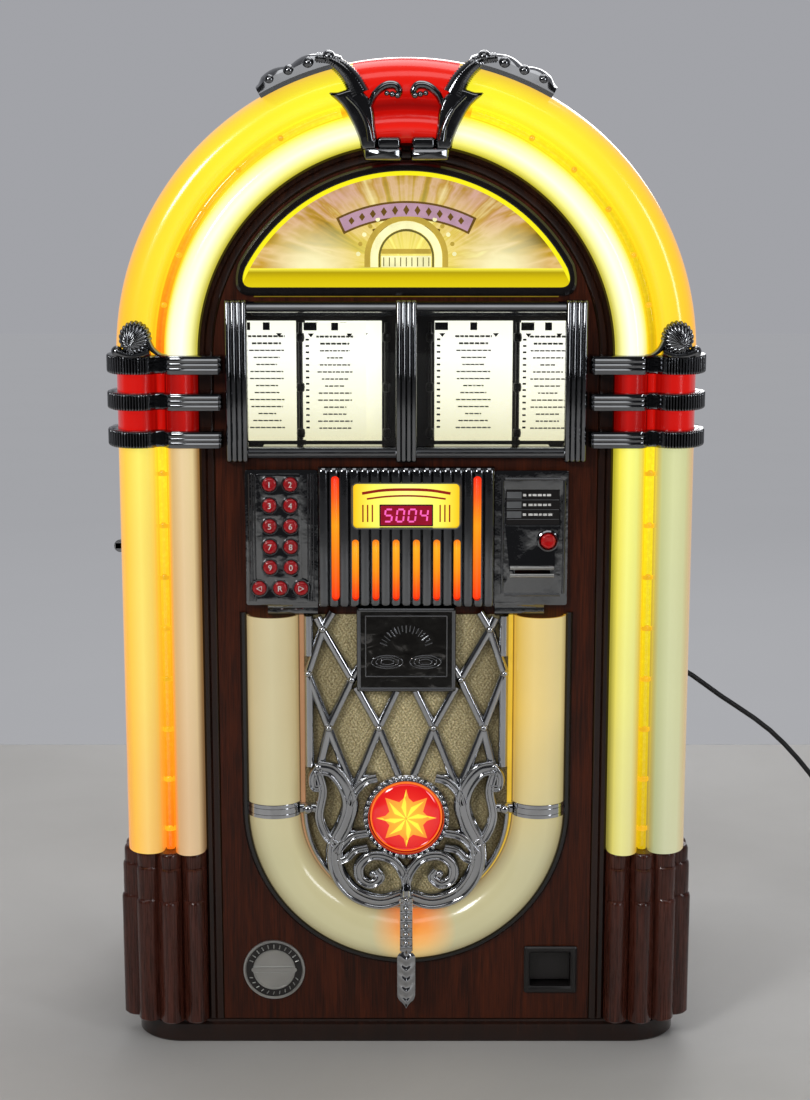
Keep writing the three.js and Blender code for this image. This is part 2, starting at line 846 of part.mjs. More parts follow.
const GRILLE_FRONT = FRONT_Y - 15;
const GRILLE_BACK = FRONT_Y - 6;
const latticeBars = [
  [[107, 566], [114, 581]], [[107, 566], [92, 590]], [[107, 566], [126, 508]],
  [[107, 566], [70, 500]], [[126, 508], [100, 436]], [[70, 500], [100, 436]],
  [[64, 490], [35, 436]], [[12, 485], [35, 436]], [[100, 436], [68, 350]],
  [[100, 436], [112, 382]], [[35, 436], [68, 350]], [[35, 436], [10, 372]],
  [[125, 583], [125, 531]], [[125, 508], [125, 384]], [[107, 566], [125, 560]],
];
const scrolls = [
  [9, [[114, 384], [95, 379], [79, 358], [73, 333], [80, 307], [92, 280], [91, 245], [70, 214], [35, 201], [0, 210]]],
  [7, [[0, 205], [2, 235], [18, 259], [43, 265], [61, 249], [56, 229], [40, 232]]],
  [7, [[114, 380], [108, 352], [113, 318], [104, 292], [92, 280]]],
  [7, [[92, 268], [72, 290], [50, 296]]],
];
function grilleHalf(side) {
  const flip = ([x, z]) => [side * x, z];
  return [
    ...latticeBars.map((bar) => strip(bar.map(flip), 6, GRILLE_FRONT, GRILLE_BACK)),
    ...scrolls.map(([width, line]) => strip(line.map(flip), width, GRILLE_FRONT - 2, GRILLE_BACK, 2)),
  ];
}
function medallionRing() {
  const outer = cylinderY(56, 0, MEDALLION_Z, GRILLE_FRONT - 4, GRILLE_BACK, 24);
  return cut(outer, cylinderY(48, 0, MEDALLION_Z, -270, -220, 24));
}
function innerRim() {
  const line = Array.from({ length: 13 }, (_, i) => {
    const a = Math.PI + (Math.PI * i) / 12;
    return [131 * Math.cos(a), U_CENTRE_Z + 131 * Math.sin(a)];
  });
  return strip(line, 7, GRILLE_FRONT + 2, GRILLE_BACK, 1);
}
function tubeClip(side) {
  const over = uSection(uHalf + 2.2, U_PROUD + 2.2, FRONT_Y - GAP);
  const under = uSection(uHalf + 0.7, U_PROUD + 0.7, FRONT_Y - GAP).reverse();
  const shape = new THREE.Shape([...over, ...under].map((p) => new THREE.Vector2(side * p.x, p.y)));
  return prismZ(shape, 319, 337);
}
const dropLeaf = [[-8, 140], [-15, 131], [-15, 77], [0, 62], [15, 77], [15, 131], [8, 140]];
add(
  "grille_lattice",
  join(
    ...grilleHalf(1),
    ...grilleHalf(-1),
    box(-63.5, 63.5, GRILLE_FRONT - 2, GRILLE_BACK, 485, 594.4),
    medallionRing(),
    innerRim(),
    ...both(tubeClip),
    ...both((side) =>
      box(Math.min(side * 127, side * 138.5), Math.max(side * 127, side * 138.3), -240, -235, 321, 335),
    ),
    box(-8, 8, -262, -257, 130, 222),
    box(-8, 8, -260, GRILLE_BACK, 188, 222),
    prismY(polygon(dropLeaf), -262, -257),
    box(-9, 9, -258, FRONT_Y - GAP, 72, 117),
  ),
  "chrome",
);
add(
  "medallion_lens",
  turned(
    [[0, -248], [25, -247], [40, -244], [47.3, -239], [47.3, -231.5], [0, -231.5]],
    0,
    MEDALLION_Z,
    20,
  ),
  "lamp_red",
);

// ---------- coin return cup and loudspeaker ----------

add(
  "coin_return_cup",
  cut(
    join(
      box(156, 226, FRONT_Y - 4.5, FRONT_Y - GAP, 70, 134.5),
      box(162, 220, FRONT_Y - 2, FRONT_Y + 42, 77, 128),
    ),
    box(164, 218, FRONT_Y - 10, FRONT_Y + 40, 79, 126),
  ),
  "black",
);

const speakerFace = FRONT_Y + PANEL_THICK + GAP;
add(
  "woofer",
  turned(
    [
      [0, 26], [28, 20], [80, 3], [84, 0], [98, 0], [98, 6], [90, 9], [52, 46], [52, 72], [0, 72],
    ].map(([r, d]) => [r, speakerFace + d]),
    0,
    420,
    16,
  ),
  "black",
);

// ---------- mains lead ----------

const coilOuter = COIL_MID_RADIUS + COIL_HALF_WIDTH;
const cordEndY = COIL_CENTRE[1] + coilOuter + GAP + CORD_RADIUS;
const cordPath = [
  [GLAND[0], 263, GLAND[1]], [302, 290, 400], [324, 316, 398], [372, 324, 394], [432, 324, 381],
  [500, 322, 335], [580, 318, 279], [645, 314, 209], [700, 310, 128], [742, 307, 52],
  [772, cordEndY, 16], [COIL_CENTRE[0], cordEndY, CORD_RADIUS + 0.3],
];
const cordCurve = new THREE.CatmullRomCurve3(cordPath.map((p) => new THREE.Vector3(...p)));
const cordCircle = new THREE.Shape(circle(0, 0, CORD_RADIUS, 8));
add(
  "power_cord",
  new THREE.ExtrudeGeometry(cordCircle, { steps: 36, extrudePath: cordCurve, bevelEnabled: false }),
  "black",
);
const coilInner = COIL_MID_RADIUS - COIL_HALF_WIDTH;
add(
  "power_cord_coil",
  turnedZ(
    [
      [coilInner, 4], [coilInner + 3.5, 0.3], [coilOuter - 3.5, 0.3], [coilOuter, 4],
      [coilOuter, COIL_HEIGHT - 4], [coilOuter - 3.5, COIL_HEIGHT], [coilInner + 3.5, COIL_HEIGHT],
      [coilInner, COIL_HEIGHT - 4], [coilInner, 4],
    ],
    COIL_CENTRE[0],
    COIL_CENTRE[1],
    16,
  ),
  "black",
);
const plugX = COIL_CENTRE[0] + 45;
const plugY = COIL_CENTRE[1] + 47;
add(
  "power_plug",
  join(
    box(plugX, plugX + 14, plugY - 7, plugY + 7, 4, 18),
    box(plugX + 12, plugX + 40, plugY - 13, plugY + 13, 0.3, 24),
    box(plugX + 38, plugX + 57, plugY - 7.2, plugY - 5.7, 6, 13),
    box(plugX + 38, plugX + 57, plugY + 5.7, plugY + 7.2, 6, 13),
    box(plugX + 38, plugX + 59, plugY - 2.3, plugY + 2.3, 15.5, 20),
  ),
  "black",
);

export default group;
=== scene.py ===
import math

import bmesh
import bpy
from mathutils import Matrix, Vector


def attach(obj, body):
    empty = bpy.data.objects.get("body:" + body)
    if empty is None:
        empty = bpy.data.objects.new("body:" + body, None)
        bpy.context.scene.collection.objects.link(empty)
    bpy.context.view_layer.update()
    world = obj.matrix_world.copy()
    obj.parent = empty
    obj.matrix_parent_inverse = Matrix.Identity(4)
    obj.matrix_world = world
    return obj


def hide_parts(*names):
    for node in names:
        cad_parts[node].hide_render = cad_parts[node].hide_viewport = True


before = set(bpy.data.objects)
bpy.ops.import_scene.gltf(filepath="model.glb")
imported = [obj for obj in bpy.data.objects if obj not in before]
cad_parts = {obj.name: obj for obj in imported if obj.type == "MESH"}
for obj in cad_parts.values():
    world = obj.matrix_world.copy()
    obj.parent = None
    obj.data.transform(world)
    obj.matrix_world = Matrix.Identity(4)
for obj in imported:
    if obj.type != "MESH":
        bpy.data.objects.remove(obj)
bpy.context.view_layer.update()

# Shared dimensions, in metres
FACE = -0.227  # face of the front panel
SEAM = -0.147  # plane where the hinged front meets the cabinet
ARCH_Z = 0.913
FLOOR_GAP = 0.033
COLUMN_BOTTOM = 0.267
COLLAR_BOTTOM = 0.800
LOBE_START, LOBE_END, GROOVE_END, OUTER = 0.263, 0.302, 0.317, 0.368
LOBE_PROUD = 0.024
TUBE_X, TUBE_Y, TUBE_R = 0.3095, -0.221, 0.0055
CROWN_HALF = 10.4  # degrees
U_Z, U_OUT, U_IN, U_PROUD, U_TOP = 0.325, 0.205, 0.138, 0.0285, 0.5835
MEDAL_Z = 0.317
GRILLE_BACK, GRILLE_FRONT = FACE - 0.006, FACE - 0.015
BEHIND = FACE - 0.0004  # back of the parts that sit on the panel
SIDES = ((1, "right"), (-1, "left"))


# ---------- camera ----------

CAMERA_PLACE = (-0.0016, FACE - 2.4, 1.09)
CAMERA_DOWN = 10  # degrees below level
CAMERA_LENS = 62.5


def make_camera():
    data = bpy.data.cameras.new("camera")
    data.lens = CAMERA_LENS
    data.sensor_width = 36
    camera = bpy.data.objects.new("camera", data)
    camera.location = CAMERA_PLACE
    camera.rotation_euler = (math.radians(90 - CAMERA_DOWN), 0, 0)
    bpy.context.scene.collection.objects.link(camera)
    bpy.context.scene.camera = camera


make_camera()


# ---------- mesh helpers ----------

def new_object(name, data, body, slot=None, replaces=()):
    o = bpy.data.objects.new(name, data)
    bpy.context.scene.collection.objects.link(o)
    if body:
        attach(o, body)
    if replaces:
        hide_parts(*replaces)
    return o


class Build:
    """Gathers the faces of one piece."""

    def __init__(self):
        self.verts, self.faces, self.uvs, self.mats = [], [], [], []
        self.mat = 0

    def face(self, ids, uvs=None):
        self.faces.append(ids)
        self.uvs.append(uvs or [(0, 0)] * len(ids))
        self.mats.append(self.mat)

    def loft(self, loops, us=None, closed=True, caps=True):
        """Skins equal loops of points; us gives the first texture value round a loop."""
        start, count = len(self.verts), len(loops[0])
        for loop in loops:
            self.verts.extend(tuple(p) for p in loop)
        us = us or [i / count for i in range(count + 1)]
        run = count if closed else count - 1
        for k in range(len(loops) - 1):
            v0, v1 = k / (len(loops) - 1), (k + 1) / (len(loops) - 1)
            for i in range(run):
                j = (i + 1) % count
                u0, u1 = us[i], us[(i + 1) if i + 1 < len(us) else 0]
                a, b = start + k * count + i, start + k * count + j
                self.face([a, b, b + count, a + count], [(u0, v0), (u1, v0), (u1, v1), (u0, v1)])
        if caps and closed:
            last = start + (len(loops) - 1) * count
            self.face([start + i for i in reversed(range(count))])
            self.face([last + i for i in range(count)])
        return self

    def prism(self, outline, y0, y1):
        """An outline of (x, z) between two depths."""
        return self.loft([[(x, y, z) for x, z in outline] for y in (y0, y1)])

    def prism_z(self, outline, z0, z1):
        return self.loft([[(x, y, z) for x, y in outline] for z in (z0, z1)])

    def box(self, x0, x1, y0, y1, z0, z1):
        return self.prism([(x0, z0), (x1, z0), (x1, z1), (x0, z1)], y0, y1)

    def ring(self, rows, closed=True):
        """Joins (outline, depth) rows, point by point; closed rows meet in a ring."""
        loops = [[(line[i][0], y, line[i][1]) for line, y in rows] for i in range(len(rows[0][0]))]
        return self.loft(loops + [loops[0]], caps=False) if closed else self.loft(loops)

    def lathe(self, profile, x, z, steps=32):
        """(radius, y) turned about a front-to-back axis."""
        return self.loft([[(p, y, q) for p, q in arc(x, z, max(r, 1e-5), turns(steps))] for r, y in profile])

    def lathe_z(self, profile, x, y, steps=32):
        return self.loft([[(*p, z) for p in arc(x, y, max(r, 1e-5), turns(steps))] for r, z in profile])

    def lathe_x(self, profile, y, z, steps):
        """(x, radius) turned about a left-to-right axis."""
        return self.loft([[(x, *p) for p in arc(y, z, r, turns(steps))] for x, r in profile])

    def bead(self, x, y, z, r, rings=6, steps=10):
        loops = []
        for t in half_turn(rings):
            ring = arc(x, z, max(math.sin(t), 1e-3) * r, turns(steps))
            loops.append([(p, y - r * math.cos(t), q) for p, q in ring])
        return self.loft(loops)

    def bar(self, path, width, back, front, smooth=0, taper=None):
        """A half-round bar along (x, z) points, its crest at the front."""
        line = spline(path, smooth) if smooth else [Vector(p) for p in path]
        half = [(0.2, 0.985), (0.56, 0.88), (0.85, 0.64), (1, 0.34), (1, 0)]
        section = [(-s, t) for s, t in half[::-1]] + half
        loops = []
        for i, p in enumerate(line):
            d = (line[min(i + 1, len(line) - 1)] - line[max(i - 1, 0)]).normalized()
            n = Vector((-d.y, d.x))
            w = width / 2 * (taper(i / (len(line) - 1)) if taper else 1)
            loops.append([(p.x + n.x * s * w, back + (front - back) * t, p.y + n.y * s * w) for s,
                          t in section])
        return self.loft(loops)

    def mirror(self):
        """Adds a copy of everything, mirrored left to right."""
        start = len(self.verts)
        self.verts += [(-x, y, z) for x, y, z in self.verts]
        for ids, uv, m in list(zip(self.faces, self.uvs, self.mats)):
            self.faces.append([i + start for i in reversed(ids)])
            self.uvs.append(list(reversed(uv)))
            self.mats.append(m)
        return self

    def flip(self, side):
        """Moves the piece to the left side when side is -1."""
        if side < 0:
            self.verts = [(-x, y, z) for x, y, z in self.verts]
        return self

    def done(self, name, materials, body, slot=None, replaces=(), bevel=0, sharp=38):
        mesh = bpy.data.meshes.new(name)
        mesh.from_pydata(self.verts, [], self.faces)
        layer = mesh.uv_layers.new(name="section")
        flat = [value for loop in self.uvs for uv in loop for value in uv]
        layer.data.foreach_set("uv", flat)
        mesh.polygons.foreach_set("material_index", self.mats)
        for m in materials if isinstance(materials, (list, tuple)) else [materials]:
            mesh.materials.append(m)
        b = bmesh.new()
        b.from_mesh(mesh)
        bmesh.ops.recalc_face_normals(b, faces=b.faces)
        b.to_mesh(mesh)
        b.free()
        mesh.shade_smooth()
        mesh.set_sharp_from_angle(angle=math.radians(sharp))
        o = new_object(name, mesh, body, slot, replaces)
        if bevel:
            soften(o, bevel)
        return o


def soften(o, width):
    m = o.modifiers.new("edge", "BEVEL")
    m.width = width
    m.segments = 2
    m.limit_method = "ANGLE"
    m.angle_limit = math.radians(30)


def turns(steps):
    return [2 * math.pi * (i + 0.5) / steps for i in range(steps)]


def half_turn(steps):
    return [math.pi * k / steps for k in range(steps + 1)]


def arc(x, z, r, angles):
    return [(x + r * math.cos(a), z + r * math.sin(a)) for a in angles]


def bezier(p, t):
    """The point at a share of a cubic curve with four control points."""
    weights = ((1 - t) ** 3, 3 * t * (1 - t) ** 2, 3 * t * t * (1 - t), t ** 3)
    return tuple(sum(w * q[i] for w, q in zip(weights, p)) for i in (0, 1))


def spline(points, per):
    """Catmull-Rom points through a list."""
    p = [Vector(q) for q in points]
    p = [2 * p[0] - p[1]] + p + [2 * p[-1] - p[-2]]
    out = []
    for i in range(1, len(p) - 2):
        for k in range(per):
            t = k / per
            a, b, c, d = p[i - 1], p[i], p[i + 1], p[i + 2]
            out.append(0.5 * (2 * b + (c - a) * t + (2 * a - 5 * b + 4 * c - d) * t * t
                              + (3 * b - a - 3 * c + d) * t ** 3))
    out.append(p[-2])
    return out


def rounded(x0, x1, z0, z1, r, steps=5):
    pts = []
    for cx, cz, start in ((x1 - r, z0 + r, -90), (x1 - r, z1 - r, 0), (x0 + r, z1 - r, 90),
                          (x0 + r, z0 + r, 180)):
        for k in range(steps + 1):
            a = math.radians(start + 90 * k / steps)
            pts.append((cx + r * math.cos(a), cz + r * math.sin(a)))
    return pts


def offset_line(points, distance):
    out = []
    for i, p in enumerate(points):
        before, after = points[max(i - 1, 0)], points[min(i + 1, len(points) - 1)]
        d1, d2 = Vector(p) - Vector(before), Vector(after) - Vector(p)
        d1 = d1 if d1.length else d2
        d2 = d2 if d2.length else d1
        d1.normalize()
        d2.normalize()
        mean = (d1 + d2).normalized()
        stretch = 1 / max(mean.dot(d1), 0.6)
        out.append((p[0] - mean.y * distance * stretch, p[1] + mean.x * distance * stretch))
    return out


# ---------- materials ----------

def linear(value):
    """A screen value from 0 to 255 as a linear one."""
    share = value / 255
    return share / 12.92 if share <= 0.04045 else ((share + 0.055) / 1.055) ** 2.4


def paint(colour):
    """Linear RGBA from a grey, from a screen colour of three values up to 255, or as it is."""
    if isinstance(colour, (int, float)):
        return (colour, colour, colour, 1)
    return tuple(linear(c) for c in colour) + (1,) if len(colour) == 3 else colour


def darker(colour, share):
    return tuple(c * share for c in paint(colour)[:3]) + (1,)


class Mat:
    """A node material with its Principled shader at hand."""

    def __init__(self, name, **values):
        self.m = bpy.data.materials.new(name)
        self.m.use_nodes = True
        self.n, self.l = self.m.node_tree.nodes, self.m.node_tree.links
        self.p = self.n["Principled BSDF"]
        for key, value in values.items():
            self.p.inputs[key.replace("_", " ")].default_value = value
        self.coords = None

    def node(self, kind, inputs=None, **settings):
        node = self.n.new("ShaderNode" + kind)
        for key, value in settings.items():
            setattr(node, key, value)
        for key, value in (inputs or {}).items():
            if isinstance(value, bpy.types.NodeSocket):
                self.l.new(value, node.inputs[key])
            else:
                node.inputs[key].default_value = value
        return node

    def place(self, scale=(1, 1, 1), rotation=(0, 0, 0)):
        if not self.coords:
            self.coords = self.node("TexCoord")
        m = self.node("Mapping", {"Vector": self.coords.outputs["Object"]})
        m.inputs["Scale"].default_value = scale
        m.inputs["Rotation"].default_value = rotation
        return m.outputs[0]

    def noise(self, scale, detail=4, stretch=(1, 1, 1), distortion=0.0, rough=0.5):
        return self.node("TexNoise", {"Vector": self.place(stretch), "Scale": scale, "Detail": detail,
                                      "Distortion": distortion, "Roughness": rough}).outputs["Fac"]

    def ramp(self, fac, stops):
        r = self.node("ValToRGB", {"Fac": fac})
        e = r.color_ramp.elements
        while len(e) < len(stops):
            e.new(0.5)
        for item, (position, colour) in zip(e, stops):
            item.position = position
            item.color = paint(colour)
        return r.outputs["Color"]

    def mix(self, fac, a, b, mode="MIX"):
        m = self.node("Mix", data_type="RGBA", blend_type=mode)
        for key, value in ((0, fac), (6, a), (7, b)):
            if isinstance(value, bpy.types.NodeSocket):
                self.l.new(value, m.inputs[key])
            else:
                m.inputs[key].default_value = paint(value) if key else value
        return m.outputs[2]

    def math(self, op, a, b=0.0, clamp=False):
        m = self.node("Math", {0: a, 1: b}, operation=op, use_clamp=clamp)
        return m.outputs[0]

    def rough(self, fac, low, high):
        r = self.node("MapRange", {"Value": fac, "To Min": low, "To Max": high})
        self.l.new(r.outputs[0], self.p.inputs["Roughness"])

    def bump(self, height, strength, distance=0.001):
        b = self.node("Bump", {"Height": height, "Strength": strength, "Distance": distance})
        self.l.new(b.outputs[0], self.p.inputs["Normal"])

    def colour(self, socket):
        self.l.new(socket, self.p.inputs["Base Color"])

    def glow(self, socket, strength):
        self.l.new(socket, self.p.inputs["Emission Color"])
        self.p.inputs["Emission Strength"].default_value = strength

    def lit(self, socket, strength, base):
        """Glows in a colour and keeps a share of it as the unlit colour."""
        self.glow(socket, strength)
        self.colour(self.mix(base, 0, socket))

    def axes(self):
        """The place on the object as x, y and z."""
        return self.node("SeparateXYZ", {0: self.place()}).outputs

    def section(self):
        """The place on a lofted piece: across its section, then along it."""
        return self.node("SeparateXYZ", {0: self.node("UVMap", uv_map="section").outputs[0]}).outputs

    def share(self, value, start, span, clamp=False):
        return self.math("DIVIDE", self.math("SUBTRACT", value, start), span, clamp)

    def distance(self, a, b):
        return self.math("SQRT", self.math("ADD", self.math("MULTIPLY", a, a), self.math("MULTIPLY", b, b)))


def wood(name, dark, mid, light, gloss, scale=1.0, coat=0.3):
    m = Mat(name, Coat_Weight=coat, Coat_Roughness=0.12, Roughness=gloss, Specular_IOR_Level=0.25)
    broad = m.noise(9 * scale, 6, (6, 6, 0.55), 1.2)
    fine = m.noise(60 * scale, 8, (6, 6, 0.25), 0.2, 0.6)
    pores = m.noise(220 * scale, 3, (4, 4, 0.12))
    base = m.ramp(broad, [(0.3, dark), (0.52, mid), (0.75, light)])
    streak = m.ramp(fine, [(0.35, dark), (0.65, light)])
    mixed = m.mix(0.45, base, streak)
    grain = m.ramp(pores, [(0.36, 0.35), (0.5, 1)])
    m.colour(m.mix(0.55, mixed, grain, "MULTIPLY"))
    m.rough(fine, gloss - 0.06, gloss + 0.1)
    m.bump(pores, 0.12, 0.0004)
    return m.m


def chrome(name, tint, low=0.05, high=0.14, wave=0.05, scale=35):
    m = Mat(name, Metallic=1.0)
    m.colour(m.ramp(m.noise(18, 5), [(0.3, darker(tint, 0.82)), (0.7, tint)]))
    m.rough(m.noise(70, 4), low, high)
    m.bump(m.noise(scale, 3), wave, 0.002)
    return m.m


def moulded(name, colour, rough=0.4, metallic=0.0, bump=0.08, grain=900, coat=0.0):
    m = Mat(name, Metallic=metallic, Coat_Weight=coat)
    m.colour(m.ramp(m.noise(30, 5), [(0.3, darker(colour, 0.75)), (0.7, colour)]))
    m.rough(m.noise(120, 4), rough - 0.06, rough + 0.08)
    m.bump(m.noise(grain, 2), bump, 0.0003)
    return m.m


def lamp(name, bottom, top, strength, base):
    """Back-lit plastic: colours across the section, at the lower and upper end."""
    m = Mat(name, Roughness=0.22, Coat_Weight=0.4, Coat_Roughness=0.05)
    across, along, _ = m.section()
    low, high = m.ramp(across, bottom), m.ramp(across, top)
    cloudy = m.math("MULTIPLY", m.math("SUBTRACT", m.noise(7, 3), 0.5), 0.5)
    colour = m.mix(m.math("ADD", along, cloudy, True), low, high)
    m.lit(colour, strength, base)
    m.bump(m.noise(12, 2), 0.04, 0.003)
    return m.m


def print_glow(name, colour, strength=0.9):
    m = Mat(name, Roughness=0.3)
    tone = m.ramp(m.noise(60, 4), [(0.35, darker(colour, 0.82)), (0.65, colour)])
    m.lit(tone, strength, 0.25)
    return m.m


def make_materials():
    walnut = ((30, 9, 1), (62, 21, 4), (88, 35, 9))
    black = (0.012, 0.010, 0.010, 1)
    return {
        "walnut": wood("walnut_veneer", *walnut, 0.36, 1.0, 0.1),
        "side": wood("side_veneer", (30, 13, 7), (58, 27, 14), (88, 46, 26), 0.38, 0.8, 0.15),
        "frame": wood("dark_lacquer", (20, 9, 5), (38, 17, 9), (52, 25, 13), 0.22, 1.0, 0.5),
        "foot": wood("pilaster_wood", (36, 15, 10), (74, 35, 25), (104, 54, 41), 0.26, 1.3, 0.35),
        "board": wood("plain_board", (120, 92, 62), (150, 118, 82), (176, 142, 102), 0.6, 0.7, 0.0),
        "chrome": chrome("bright_chrome", (0.56, 0.57, 0.59, 1)),
        # Chrome tint darkened to about a fifth: painted dark reflection of the surroundings.
        "chrome_painted_dark_reflection": chrome("chrome_painted_dark_reflection", (0.22, 0.225, 0.235, 1), 0.05, 0.14, 0.08),
        # Rippled chrome tint darkened to about a quarter: painted dark reflection of the surroundings.
        "ripple_chrome_painted_dark_reflection": chrome("rippled_chrome_painted_dark_reflection", (0.24, 0.245, 0.25, 1), 0.05, 0.14, 0.9, 45),
        "satin": chrome("satin_silver", (0.62, 0.62, 0.60, 1), 0.3, 0.42, 0.05, 300),
        "steel": moulded("grey_steel", (0.28, 0.29, 0.3, 1), 0.4, 0.8),
        "black": moulded("black_plastic", black, 0.35),
        "gloss_black": moulded("gloss_black", black, 0.12, 0, 0.02, 200, 0.3),
        "rubber": moulded("cord_rubber", (0.016, 0.016, 0.017, 1), 0.5, 0, 0.2, 1500),
        "key": moulded("key_red", (182, 16, 26), 0.2, 0, 0.03, 200, 0.5),
        "reject": moulded("reject_red", (210, 18, 20), 0.22, 0, 0.03, 200, 0.4),
        "white": moulded("white_print", (0.9, 0.89, 0.85, 1), 0.5),
        "grey_print": moulded("grey_print", (0.16, 0.15, 0.13, 1), 0.6),
    }


M = make_materials()

# ---------- mains lead ----------

CORD_R = 0.004
COIL_X, COIL_Y = 0.805, 0.240
COIL_LOW, COIL_HIGH = 0.0053, 0.0137  # heights of the two layers' centres
TURN_PITCH = 0.0082
COIL_OUTER, COIL_INNER = 0.0644, 0.0398
ROUTE = [
    (0.300, 0.263, 0.400), (0.302, 0.290, 0.400), (0.324, 0.316, 0.398), (0.372, 0.324, 0.394),
    (0.432, 0.324, 0.381), (0.500, 0.322, 0.335), (0.580, 0.318, 0.279), (0.645, 0.314, 0.209),
    (0.700, 0.310, 0.128), (0.742, 0.307, 0.052), (0.772, 0.3044, 0.016),
]
PLUG_BACK = (0.850, 0.287, 0.011)


def coil_points(per_turn=24, low_turns=3, high_turns=2):
    """Clockwise from the back of the coil: inwards on the floor, then outwards on top."""
    points = []
    for k in range((low_turns + high_turns) * per_turn + 1):
        turn, part = divmod(k / per_turn, 1)
        if turn < low_turns:
            quick = min(part / 0.14, 1)
            r = COIL_OUTER - TURN_PITCH * turn - 0.0056 * quick - 0.0026 * max(part - 0.14, 0) / 0.86
        else:
            r = COIL_INNER + TURN_PITCH * (k / per_turn - low_turns)
        climb = min(max((k / per_turn - low_turns + 0.25) / 0.3, 0), 1)
        z = COIL_LOW + (COIL_HIGH - COIL_LOW) * climb * climb * (3 - 2 * climb)
        a = math.pi / 2 - 2 * math.pi * k / per_turn
        points.append((COIL_X + r * math.cos(a), COIL_Y + r * math.sin(a), z))
    return points


def make_cord():
    lead = [(0.820, 0.2952, COIL_HIGH), (0.835, 0.2896, COIL_HIGH), (0.843, 0.2876, COIL_HIGH - 0.0008),
            PLUG_BACK]
    points = [tuple(p) for p in spline(ROUTE + [coil_points()[0]], 3)][:-1] + coil_points() + lead
    data = bpy.data.curves.new("power_cord_run", "CURVE")
    data.dimensions = "3D"
    data.bevel_depth = CORD_R
    data.bevel_resolution = 4
    line = data.splines.new("POLY")
    line.points.add(len(points) - 1)
    for item, p in zip(line.points, points):
        item.co = (*p, 1)
    line.use_smooth = True
    data.materials.append(M["rubber"])
    data.use_fill_caps = True
    return new_object("power_cord_run", data, "cabinet", "cord_rubber", ("power_cord", "power_cord_coil"))


def make_relief():
    """Ribbed boot tapering onto the lead behind the gland."""
    b = Build()
    start, end = Vector(ROUTE[0]), Vector((0.3018, 0.289, 0.400))
    loops = []
    for k in range(25):
        c = start.lerp(end, k / 24)
        r = 0.0076 - 0.0031 * k / 24 + (0.0007 if k % 4 in (1, 2) else 0)
        loops.append([(p, c.y, q) for p, q in arc(c.x, c.z, r, turns(20))])
    b.loft(loops)
    return b.done("cord_boot", M["rubber"], "cabinet", "cord_rubber", sharp=50)


def make_gland():
    x, _, z = ROUTE[0]
    b = Build()
    b.lathe([(0, 0.2544), (0.015, 0.2544), (0.0155, 0.2555), (0.0148, 0.2574), (0.0095, 0.2586),
             (0.0088, 0.2627),
             (0, 0.2627)], x, z, 36)
    for p, q in arc(x, z, 0.0125, turns(12)):
        b.bead(p, 0.2574, q, 0.0011)
    return b.done("cord_gland_flange", M["black"], "cabinet", "black_plastic", ("cord_gland",), sharp=30)


def make_plug():
    x, y, z = PLUG_BACK
    b = Build()
    loops = []
    stations = [(0.0, 0.0048, 0.0048)]
    for k in range(10):
        rib = 0.0052 + 0.00018 * k + (0.0006 if k % 2 else 0)
        stations.append((0.001 + 0.0013 * k, rib, rib))
    stations += [(0.0145, 0.0085, 0.0075), (0.0175, 0.0115, 0.0098), (0.022, 0.0128, 0.0112),
                 (0.034, 0.013, 0.0118),
                 (0.0385, 0.0128, 0.0117), (0.040, 0.0118, 0.0106)]
    for dx, half_y, half_z in stations:
        cz = z + 0.0011 * min(max((dx - 0.013) / 0.006, 0), 1)
        power = 1 - 0.55 * min(max((dx - 0.012) / 0.008, 0), 1)
        loop = []
        for c, s in arc(0, 0, 1, turns(28)):
            loop.append((x + dx, y + half_y * math.copysign(abs(c) ** power, c),
                         cz + half_z * math.copysign(abs(s) ** power, s)))
        loops.append(loop)
    b.loft(loops)
    for k in range(5):
        grip = x + 0.021 + 0.003 * k
        for rim in (y - 0.0128, y + 0.0128):
            b.box(grip, grip + 0.0012, rim - 0.0006, rim + 0.0006, z - 0.005, z + 0.008)
    body = b.done("plug_body", M["rubber"], "cabinet", "cord_rubber", ("power_plug",), sharp=40)
    b = Build()
    for side in (-1, 1):
        blade = [(x + 0.039, z - 0.0045), (x + 0.0565, z - 0.0045), (x + 0.0575, z - 0.003),
                 (x + 0.0575, z + 0.0015),
                 (x + 0.0565, z + 0.003), (x + 0.039, z + 0.003)]
        b.prism(blade, y + side * 0.00645 - 0.00075, y + side * 0.00645 + 0.00075)
    b.lathe_x([(x + dx, r) for dx, r in ((0.039, 0.0024), (0.057, 0.0024), (0.0585, 0.002), (0.059, 0.0011))],
              y, z + 0.0068, 20)
    pins = b.done("plug_pins", M["chrome"], "cabinet", "chrome", bevel=0.0003)
    return body, pins


def make_tie():
    """Band round the coil's bundle on its front side, with a twisted end."""
    y0, y1 = COIL_Y - COIL_OUTER - 0.0008, COIL_Y - COIL_INNER + 0.0052
    z1 = COIL_HIGH + CORD_R + 0.0003
    outer = rounded(y0 - 0.0007, y1 + 0.0007, 0.0004, z1 + 0.0007, 0.0036)
    inner = rounded(y0, y1, 0.0011, z1, 0.003)
    b = Build()
    ring = []
    for x, line in ((-0.003, outer), (0.003, outer), (0.003, inner), (-0.003, inner)):
        ring.append([(COIL_X + x, p, q) for p, q in line])
    b.loft(ring + [ring[0]], caps=False)
    for k in range(14):
        a = k * 0.9
        b.bead(COIL_X + 0.0016 * math.cos(a), (y0 + y1) / 2 + 0.0016 * math.sin(a),
               z1 + 0.0012 + k * 0.0006, 0.0013,
               4, 8)
    return b.done("coil_tie", M["black"], "cabinet", "cord_rubber")


def mains_lead():
    run = make_cord()
    boot = make_relief()
    make_gland()
    plug, pins = make_plug()
    tie = make_tie()


mains_lead()


# ---------- lit plastics ----------

